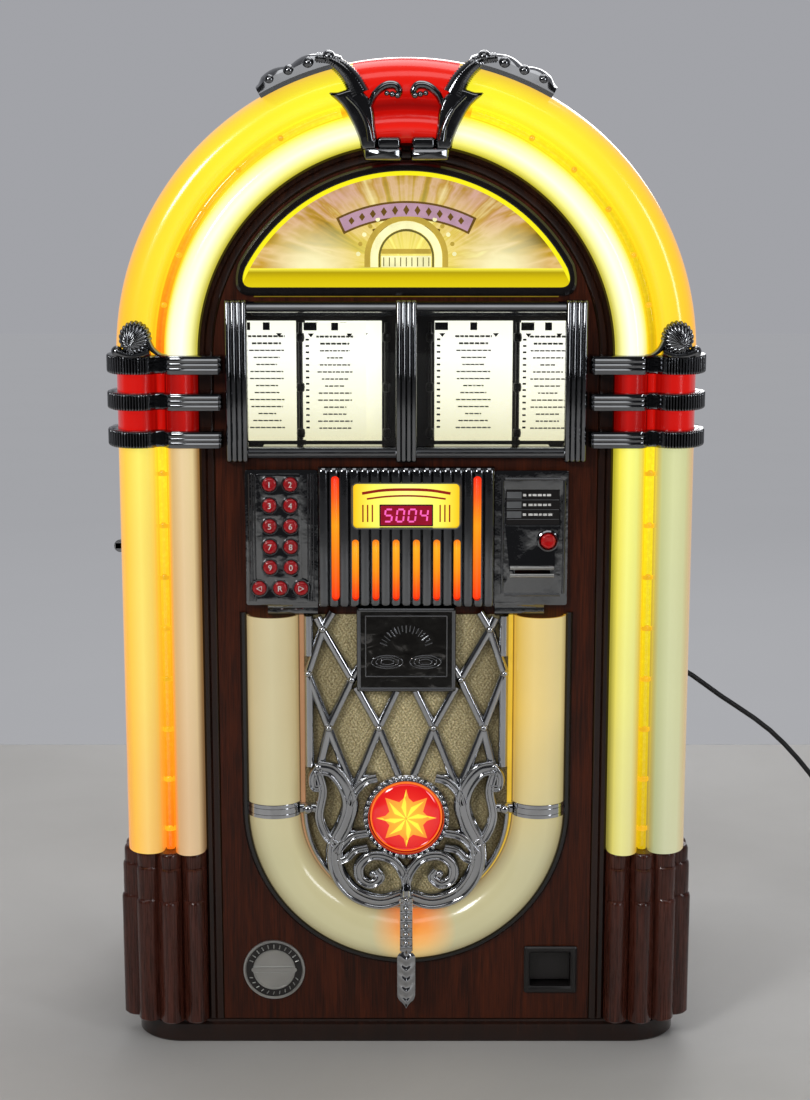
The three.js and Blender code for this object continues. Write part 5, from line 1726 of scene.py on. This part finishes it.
def medal_ring(b):
    b.lathe([(0.0484, GRILLE_BACK), (0.0484, GRILLE_FRONT - 0.003), (0.0496, GRILLE_FRONT - 0.0048),
             (0.0512, GRILLE_FRONT - 0.003), (0.0528, GRILLE_FRONT - 0.0012), (0.056, GRILLE_FRONT + 0.001),
             (0.056, GRILLE_BACK)], 0, MEDAL_Z, 72)
    for x, z in arc(0, MEDAL_Z, 0.0532, turns(40)):
        b.bead(x, GRILLE_FRONT - 0.0014, z, 0.0034, 6, 12)


def tube_clips(b):
    for side in (-1, 1):
        over, under = u_section(0.0022), u_section(0.0006)[::-1]
        outline = [(side * x, y) for x, y in over + under]
        for z0, z1 in ((0.3195, 0.3235), (0.3245, 0.3315), (0.3325, 0.3365)):
            b.prism_z(outline if side > 0 else outline[::-1], z0, z1)
        b.prism_z([(side * x, y) for x, y in u_section(0.0014) + under], 0.319, 0.337)
        b.bar([(side * 0.116, 0.328), (side * 0.138, 0.328)], 0.014, GRILLE_BACK - 0.002,
              GRILLE_FRONT - 0.001)
        b.bead(side * 0.128, GRILLE_FRONT, 0.328, 0.007, 8, 16)


def drop(b):
    """Strap and leaf hanging over the bottom of the U-shaped light."""
    front = FACE - 0.0355
    b.bar([(0, 0.212), (0, 0.190), (0, 0.140)], 0.0165, FACE - 0.030, front, 6)
    b.bar([(0, 0.222), (0, 0.196)], 0.018, GRILLE_BACK, front + 0.002)
    for k in range(6):
        z = 0.146 + 0.0118 * k
        b.bar([(-0.0078, z), (0.0078, z)], 0.0042, front + 0.002, front - 0.0014)
        b.bead(0, front + 0.0008, z + 0.0059, 0.0044, 6, 14)
    loops = []
    for k in range(41):
        t = k / 40
        z = 0.142 - 0.080 * t
        start = (t / 0.12) ** 0.5 if t else 0.02
        end = 1 if t < 0.78 else math.cos((t - 0.78) / 0.22 * 1.5)
        w = max(0.0118 * min(1, start) * end, 0.0006)
        loop = []
        for i in range(13):
            s = -1 + i / 6
            ridge = 0.0024 * (0.5 + 0.5 * math.cos(2 * math.pi * (5.5 * t + abs(s) * 0.55)))
            y = front + 0.0002 + 0.0042 * s * s - ridge * (1 - abs(s)) - (0.001 if abs(s) < 0.1 else 0)
            loop.append((w * s, y, z))
        loop += [(w, FACE - 0.030, z), (-w, FACE - 0.030, z)]
        loops.append(loop)
    b.loft(loops)
    b.prism(rounded(-0.0085, 0.0085, 0.073, 0.117, 0.003), FACE - 0.031, BEHIND)


def star_material(name, inner, outer):
    m = Mat(name, Roughness=0.12, Coat_Weight=0.8)
    x, _, z = m.axes()
    r = m.distance(x, m.math("SUBTRACT", z, MEDAL_Z))
    colour = m.ramp(m.math("DIVIDE", r, 0.047), [(0.05, inner), (1.0, outer)])
    m.lit(colour, 0.95, 0.2)
    return m.m


def make_medallion():
    mats = [star_material("medal_red", (255, 70, 50), (222, 10, 24)),
            star_material("medal_yellow", (255, 255, 70), (255, 214, 50)),
            star_material("medal_orange", (255, 200, 50), (250, 120, 40))]
    b = Build()
    b.lathe([(0, -0.2480), (0.012, -0.2478), (0.025, -0.2471), (0.034, -0.2457), (0.041, -0.2436),
             (0.0455, -0.2412),
             (0.0473, -0.2385), (0.0473, -0.2315), (0, -0.2315)], 0, MEDAL_Z, 72)
    b.done("medallion_glass", mats[0], "front_door", "lamp_red", ("medallion_lens",), sharp=50)
    b = Build()

    def point(r, a):
        return (r * math.sin(a), -0.2490 + 1.65 * r * r, MEDAL_Z + r * math.cos(a))

    for layer, (straight, slant, short, lift) in enumerate(((0.030, 0.0385, 0.0235, 0.0002),
                                                            (0.039, 0.0320, 0.0165, 0.0005))):
        for k in range(8):
            a = math.pi / 4 * k
            long = slant if k % 2 else straight
            for half, tone in ((-1, 1), (1, 2)):
                tip, valley = point(long, a), point(short, a + half * math.pi / 8)
                mid = point(0.0005, a)
                b.mat = tone if layer else 2
                ids = []
                for p in (mid, tip, valley):
                    for d in (-lift, 0.0005):
                        b.verts.append((p[0], p[1] + d, p[2]))
                        ids.append(len(b.verts) - 1)
                for side in ((0, 2, 4), (1, 5, 3), (0, 1, 3, 2), (2, 3, 5, 4), (4, 5, 1, 0)):
                    b.face([ids[i] for i in side])
    b.mat = 2
    b.lathe([(0.0448, -0.2416), (0.0453, -0.2424), (0.0464, -0.2412), (0.0470, -0.2396)], 0, MEDAL_Z, 72)
    b.done("medallion_star", mats, "front_door", "art", sharp=10)


make_u_light()
make_cloth()
make_grille()
make_medallion()


# ---------- badge, cup and loudspeaker ----------

def make_badge():
    x, z, r, y = -0.175, 0.102, 0.041, FACE
    b = Build()
    b.lathe([(0, y - 0.0022), (r * 0.62, y - 0.0022), (r * 0.63, y - 0.003), (r * 0.66, y - 0.003),
             (r * 0.67, y - 0.0022),
             (r * 0.92, y - 0.0022), (r * 0.94, y - 0.0034), (r * 0.99, y - 0.003), (r, y - 0.0012), (r, y),
             (0, y)],
            x, z, 72)
    for row in (z + 0.004, z - 0.004):
        b.bar([(x - 0.028, row), (x + 0.028, row)], 0.0012, y - 0.002, y - 0.0032)
    b.prism(rounded(x - 0.030, x + 0.030, z - 0.0028, z + 0.0028, 0.0026), y - 0.0034, y - 0.002)
    for k in range(11):
        a = math.pi * (0.12 + 0.076 * k)
        upper = arc(x, z, 0.0299, [a]) + arc(x, z, 0.0351, [a])
        lower = arc(x, z, 0.0305, [-a]) + arc(x, z, 0.0345, [-a - 0.05])
        b.bar(upper, 0.0015, y - 0.002, y - 0.0032)
        b.bar(lower, 0.0013, y - 0.002, y - 0.0032)
    b.mat = 1
    b.lathe([(r * 0.68, y - 0.0021), (r * 0.68, y - 0.0024), (r * 0.91, y - 0.0024),
             (r * 0.91, y - 0.0021)], x, z, 72)
    b.done("round_badge", [M["satin"], M["gloss_black"]], "front_door", "steel", sharp=30)


def make_cup():
    b = Build()
    y = FACE
    outer = rounded(0.156, 0.226, 0.070, 0.1345, 0.003)
    steps = [(outer, y - 0.0004), (rounded(0.1562, 0.2258, 0.0702, 0.1343, 0.003), y - 0.003),
             (rounded(0.158, 0.224, 0.072, 0.1325, 0.0025), y - 0.0045),
             (rounded(0.162, 0.2202, 0.0762, 0.1285, 0.002), y - 0.0045),
             (rounded(0.164, 0.218, 0.079, 0.126, 0.0015), y - 0.0025),
             (rounded(0.164, 0.218, 0.079, 0.126, 0.0015), y + 0.038),
             (rounded(0.1638, 0.2182, 0.0788, 0.1262, 0.0015), y + 0.042),
             (rounded(0.162, 0.220, 0.077, 0.128, 0.0015), y + 0.042),
             (rounded(0.162, 0.220, 0.077, 0.128, 0.0015), y - 0.0004)]
    b.ring(steps)
    b.box(0.1638, 0.2182, y + 0.040, y + 0.0418, 0.0788, 0.1262)
    b.box(0.1645, 0.2175, y + 0.012, y + 0.013, 0.083, 0.1255)
    b.done("coin_cup", M["black"], "front_door", "black_plastic", ("coin_return_cup",), sharp=34)


def make_woofer():
    y0 = FACE + 0.0189
    b = Build()
    profile = [(0, 0.022), (0.012, 0.019), (0.022, 0.0195), (0.027, 0.022), (0.030, 0.021), (0.070, 0.0035)]
    for k in range(9):
        a = math.pi * k / 8
        profile.append((0.0765 - 0.0055 * math.cos(a), 0.0035 - 0.003 * math.sin(a)))
    profile += [(0.083, 0.001), (0.098, 0.0), (0.098, 0.005), (0.090, 0.009), (0.086, 0.016), (0.054, 0.044),
                (0.052, 0.048), (0.052, 0.070), (0.050, 0.072), (0, 0.072)]
    b.lathe([(r, y0 + d) for r, d in profile], 0, 0.42, 64)
    b.done("woofer_driver", M["black"], "front_door", "black_plastic", ("woofer",), sharp=30)


make_badge()
make_cup()
make_woofer()


# ---------- cabinet ----------

def make_shell():
    """Veneered skin with a rounded top, open behind, and a floor and shelf inside."""
    half, wall, front, back, bottom = 0.350, 0.015, SEAM + 0.0005, 0.263, 0.0324
    b = Build()
    inner_half = half - wall
    profile = [(1, front + 0.001), (1, back - 0.001), (0.98, back), (0.02, back), (0, back - 0.001),
               (0, front + 0.015),
               (-2.2, front + 0.015), (-2.2, front), (0.98, front)]
    arch_band(b, inner_half, half, profile, bottom)
    b.mat = 1
    b.box(-inner_half, inner_half, front + 0.015, back, bottom, bottom + wall)
    b.box(-inner_half, inner_half, front, front + 0.015, bottom, bottom + 0.03)
    b.box(-inner_half + 0.0005, inner_half - 0.0005, front + 0.0152, 0.2, 0.560, 0.560 + wall)
    for x in (-0.325, 0.325):
        b.box(x - 0.0095, x + 0.0095, front + 0.016, 0.2, 0.545, 0.560)
        b.box(x - 0.0095, x + 0.0095, 0.225, 0.245, bottom + wall, 0.905)
    b.done("cabinet_skin", [M["side"], M["board"]], "cabinet", "cabinet_wood", ("cabinet_shell",), sharp=30)


BOARD_BACK = 0.254
BOARD_SCREW = 0.322  # the screws' distance from the middle


def make_rear_panel():
    b = Build()
    b.prism(arch_loop(0.3344, 0.0478), BOARD_BACK - 0.008, BOARD_BACK)
    o = b.done("rear_board", M["board"], "cabinet", "plywood", ("rear_panel",))
    tool = Build()
    for start, pitch, tall in ((0.960, 0.026, 0.010), (0.150, 0.022, 0.008)):
        for k in range(6):
            z = start + pitch * k
            tool.prism(rounded(-0.120, 0.120, z, z + tall, tall / 2 - 0.0001), 0.24, 0.26)
    cut_holes(o, tool)
    b = Build()
    spots = [(x, 0.08 + 0.165 * k) for x in (-BOARD_SCREW, BOARD_SCREW) for k in range(6)]
    spots += arc(0, ARCH_Z, BOARD_SCREW, half_turn(6)[1:-1])
    for x, z in spots:
        b.lathe([(0, 0.2565), (0.0025, 0.2563), (0.0042, 0.2552), (0.0048, 0.2540), (0, 0.2540)], x, z, 16)
        for a in (0.4, 0.4 + math.pi / 2):
            b.bar(arc(x, z, -0.002, [a]) + arc(x, z, 0.002, [a]), 0.0006, 0.2560, 0.2570)
    b.done("rear_screws", M["steel"], "cabinet", "steel", sharp=30)
    b = Build()
    b.prism(rounded(0.10, 0.22, 0.64, 0.71, 0.003), 0.2542, 0.2548)
    b.mat = 1
    for k in range(5):
        z = 0.698 - 0.011 * k
        b.box(0.108, 0.135 + 0.012 * (k % 3), 0.2548, 0.255, z - 0.001, z + 0.001)
    b.mat = 2
    for x in (-0.13, 0.13):
        b.prism(rounded(x - 0.045, x + 0.045, 0.45, 0.53, 0.008), 0.2542, 0.2556)
    b.done("rear_plates", [M["steel"], M["grey_print"], M["black"]], "cabinet", "steel")


def make_hinge():
    """Full-length piano hinge with knuckles on the right rear edge of the front."""
    ax, ay, low, tall, knuckles = 0.358, SEAM - 0.003, 0.120, 0.66, 33
    b = Build()
    b.prism_z([(0.3504, -0.104), (0.3504, SEAM + 0.004), (0.3529, SEAM + 0.006), (0.3529, -0.104)], low,
              low + tall)
    for k in range(knuckles):
        z0 = low + tall * k / knuckles
        z1 = z0 + tall / knuckles - 0.0006
        b.lathe_z([(0, z0), (0.0041, z0), (0.0044, z0 + 0.0005), (0.0044, z1 - 0.0005), (0.0041, z1),
                   (0, z1)], ax, ay, 16)
        if k % 2 == 0:
            b.prism_z([(0.3504, SEAM + 0.005), (ax - 0.003, ay + 0.0015), (ax, ay + 0.0042),
                       (0.3529, SEAM + 0.0075)],
                      z0, z1)
    for k in range(6):
        b.lathe_x([(0.3528, 0.0034), (0.3534, 0.0034), (0.3541, 0.0022), (0.3542, 0.0004)], -0.125,
                  0.15 + 0.12 * k, 12)
    b.done("piano_hinge", M["steel"], "cabinet", "steel", ("door_hinge",), sharp=30)


def make_side_lock():
    """Lock barrel on the left side with its key in it."""
    b = Build()
    y, z = -0.127, 0.655
    b.lathe_x([(-0.350, 0.012), (-0.352, 0.012), (-0.354, 0.0085), (-0.364, 0.0075), (-0.366, 0.0062),
               (-0.3665, 0.002)], y, z, 24)
    b.box(-0.386, -0.364, y - 0.0011, y + 0.0011, z - 0.0035, z + 0.0035)
    b.prism(arc(-0.3795, z, 0.0085, turns(24)), y - 0.0011, y + 0.0011)
    b.done("side_lock_key", M["chrome"], "cabinet", "steel", sharp=30)


SPINDLE_X, SPINDLE_Y = -0.060, 0.060


def make_player():
    """Deck, reader tower and spindle."""
    shelf = 0.5754
    b = Build()
    b.box(-0.205, 0.205, -0.075, 0.195, shelf, 0.632)
    b.mat = 1
    b.box(0.088, 0.190, -0.020, 0.140, 0.625, 0.842)
    b.box(0.062, 0.095, 0.040, 0.080, 0.640, 0.690)
    b.mat = 2
    b.lathe_z([(0, 0.630), (0.014, 0.630), (0.014, 0.826), (0.010, 0.8285), (0, 0.8285)], SPINDLE_X,
              SPINDLE_Y, 32)
    b.mat = 0
    for k in range(8):
        b.box(-0.190 + 0.012 * k, -0.184 + 0.012 * k, -0.0765, -0.0745, 0.592, 0.620)
    b.mat = 3
    b.box(0.100, 0.178, -0.0216, -0.0195, 0.760, 0.800)
    for k in range(6):
        b.mat = 1
        b.box(0.100 + 0.0135 * k, 0.108 + 0.0135 * k, -0.022, -0.0195, 0.735, 0.745)
    b.done("disc_player", [M["steel"], M["black"], M["chrome"], M["gloss_black"]], "cabinet", "steel",
           ("cd_player",),
           bevel=0.0012)


def make_discs():
    """Magazine hub with sixty upright discs round it."""
    b = Build()
    x, y = SPINDLE_X, SPINDLE_Y
    b.lathe_z([(0.017, 0.636), (0.100, 0.636), (0.112, 0.638), (0.112, 0.645), (0.042, 0.652), (0.042, 0.792),
               (0.112, 0.799), (0.112, 0.806), (0.100, 0.808), (0.017, 0.808)], x, y, 64)
    b.mat = 1
    around_disc = [2 * math.pi * i / 24 for i in range(24)]
    for k in range(60):
        a = 2 * math.pi * k / 60
        ca, sa = math.cos(a), math.sin(a)
        px, py = -sa * 0.0006, ca * 0.0006
        line = [(0.0735 + 0.032 * math.cos(t), 0.722 + 0.060 * math.sin(t)) for t in around_disc]
        b.loft([[(x + ca * r + s * px, y + sa * r + s * py, z) for r, z in line] for s in (-1, 1)])
    disc = Mat("disc_sheen", Metallic=1.0, Roughness=0.18)
    hue = disc.ramp(disc.noise(40, 2, (1, 1, 3)), [(0.3, (0.75, 0.7, 0.85, 1)), (0.5, (0.6, 0.8, 0.75, 1)),
                                                   (0.7, (0.85, 0.78, 0.6, 1))])
    disc.colour(hue)
    b.done("disc_magazine_discs", [M["black"], disc.m], "disc_magazine", "black_plastic", ("cd_magazine",),
           sharp=30)


def make_amplifier():
    b = Build()
    b.box(-0.150, 0.110, -0.060, 0.140, 0.0478, 0.140)
    b.mat = 1
    for k in range(14):
        x = -0.128 + 0.0048 * k
        b.box(x, x + 0.0022, -0.038, 0.028, 0.140, 0.182)
    b.box(-0.130, -0.060, -0.040, 0.030, 0.138, 0.150)
    b.mat = 2
    b.lathe_z([(0, 0.139), (0.0375, 0.139), (0.0375, 0.160), (0.035, 0.164), (0.010, 0.164), (0.008, 0.161),
               (0, 0.161)], 0.0575, 0.035, 48)
    b.mat = 1
    for k in range(10):
        b.box(-0.140 + 0.022 * k, -0.126 + 0.022 * k, -0.0612, -0.0598, 0.066, 0.122)
    b.done("amplifier_unit", [M["steel"], M["black"], M["board"]], "cabinet", "steel", ("amplifier",),
           bevel=0.001)


def make_colour_drums():
    """Striped film drums that turn inside the columns."""
    m = Mat("film_stripes", Roughness=0.2)
    band = m.math("FRACT", m.math("MULTIPLY", m.axes()[2], 6))
    colour = m.ramp(band, [(0.0, (250, 60, 20)), (0.33, (250, 170, 20)), (0.66, (150, 200, 60)),
                           (1.0, (250, 60, 20))])
    m.colour(colour)
    m.glow(colour, 0.5)
    for side, tag in SIDES:
        b = Build()
        b.lathe_z([(0, 0.276), (0.019, 0.276), (0.019, 0.788), (0.0174, 0.788), (0.0174, 0.278),
                   (0, 0.278)], 0.341,
                  -0.188, 32)
        b.flip(side).done("film_drum_" + tag, m.m, "colour_cylinder_" + tag, "tinted_film",
                          ("colour_cylinder_" + tag,), sharp=40)


make_shell()
make_rear_panel()
make_hinge()
make_side_lock()
make_player()
make_discs()
make_amplifier()
make_colour_drums()


# ---------- stage ----------

FLOOR_TOP = -0.0002
FLOOR_RADIUS = 14
FLOOR_Y = 1.0
WALL_Y = 1.22


def make_floor():
    m = Mat("pale_floor", Roughness=0.7)
    m.colour(m.ramp(m.noise(2.2, 8, (1, 1, 1), 0.4),
                    [(0.3, (0.50, 0.49, 0.47, 1)), (0.7, (0.58, 0.57, 0.55, 1))]))
    m.bump(m.noise(160, 4), 0.05, 0.001)
    b = Build()
    b.lathe_z([(FLOOR_RADIUS, -0.02), (FLOOR_RADIUS, FLOOR_TOP), (FLOOR_RADIUS / 2, FLOOR_TOP),
               (2, FLOOR_TOP)],
              0, FLOOR_Y, 64)
    b.done("floor", m.m, None)


def make_backdrop():
    """A softly lit grey sheet that starts behind the machine, where the photograph's wall meets the floor."""
    m = Mat("backdrop_grey", Roughness=0.9)
    tone = m.noise(2, 3)
    m.colour(m.ramp(tone, [(0.3, (0.038, 0.038, 0.04, 1)), (0.7, (0.042, 0.042, 0.044, 1))]))
    m.glow(m.ramp(tone, [(0.3, (0.358, 0.363, 0.383, 1)), (0.7, (0.362, 0.367, 0.387, 1))]), 0.94)
    b = Build()
    far = FLOOR_Y + FLOOR_RADIUS
    b.verts.extend([(x, y, 0) for x, y in ((-FLOOR_RADIUS, WALL_Y), (FLOOR_RADIUS, WALL_Y),
                                           (FLOOR_RADIUS, far), (-FLOOR_RADIUS, far))])
    b.face([0, 1, 2, 3])
    b.done("backdrop", m.m, None)


def area_light(name, place, aim, size, power, colour=(1, 1, 1)):
    data = bpy.data.lights.new(name, "AREA")
    data.shape = "RECTANGLE"
    data.size, data.size_y = size
    data.energy = power
    data.color = colour
    o = bpy.data.objects.new(name, data)
    o.location = place
    o.rotation_euler = (Vector(aim) - Vector(place)).to_track_quat("-Z", "Y").to_euler()
    bpy.context.scene.collection.objects.link(o)


STUDIO_FRONT, STUDIO_BACK = (0.035, 0.035, 0.038, 1), (0.36, 0.365, 0.39, 1)


def make_light():
    """A studio that is dim in front, for the chrome, and grey behind; five soft lights."""
    world = bpy.data.worlds.new("studio")
    world.use_nodes = True
    nodes, links = world.node_tree.nodes, world.node_tree.links
    split = nodes.new("ShaderNodeSeparateXYZ")
    links.new(nodes.new("ShaderNodeTexCoord").outputs["Generated"], split.inputs[0])
    shift = nodes.new("ShaderNodeMapRange")
    shift.inputs["From Min"].default_value = -1
    links.new(split.outputs[1], shift.inputs["Value"])
    ramp = nodes.new("ShaderNodeValToRGB")
    for stop, position, colour in zip(ramp.color_ramp.elements, (0.3, 0.85), (STUDIO_FRONT, STUDIO_BACK)):
        stop.position = position
        stop.color = colour
    links.new(shift.outputs[0], ramp.inputs[0])
    links.new(ramp.outputs[0], nodes["Background"].inputs[0])
    bpy.context.scene.world = world
    area_light("key", (-2.0, -2.8, 2.3), (0, 0, 0.6), (0.9, 0.7), 44)
    area_light("fill", (2.4, -2.4, 1.5), (0, 0, 0.6), (0.5, 1.6), 20, (0.94, 0.96, 1))
    area_light("front_top", (0.0, -2.2, 3.2), (0, 0, 0.4), (2.6, 1.3), 16)
    area_light("top", (0.2, 0.6, 3.4), (0, 0.2, 0.8), (2.4, 1.6), 24)
    area_light("rear", (0.6, 3.0, 2.2), (0, 0, 0.7), (2.0, 1.4), 40)
    bpy.context.scene.view_settings.view_transform = "Standard"


make_floor()
make_backdrop()
make_light()
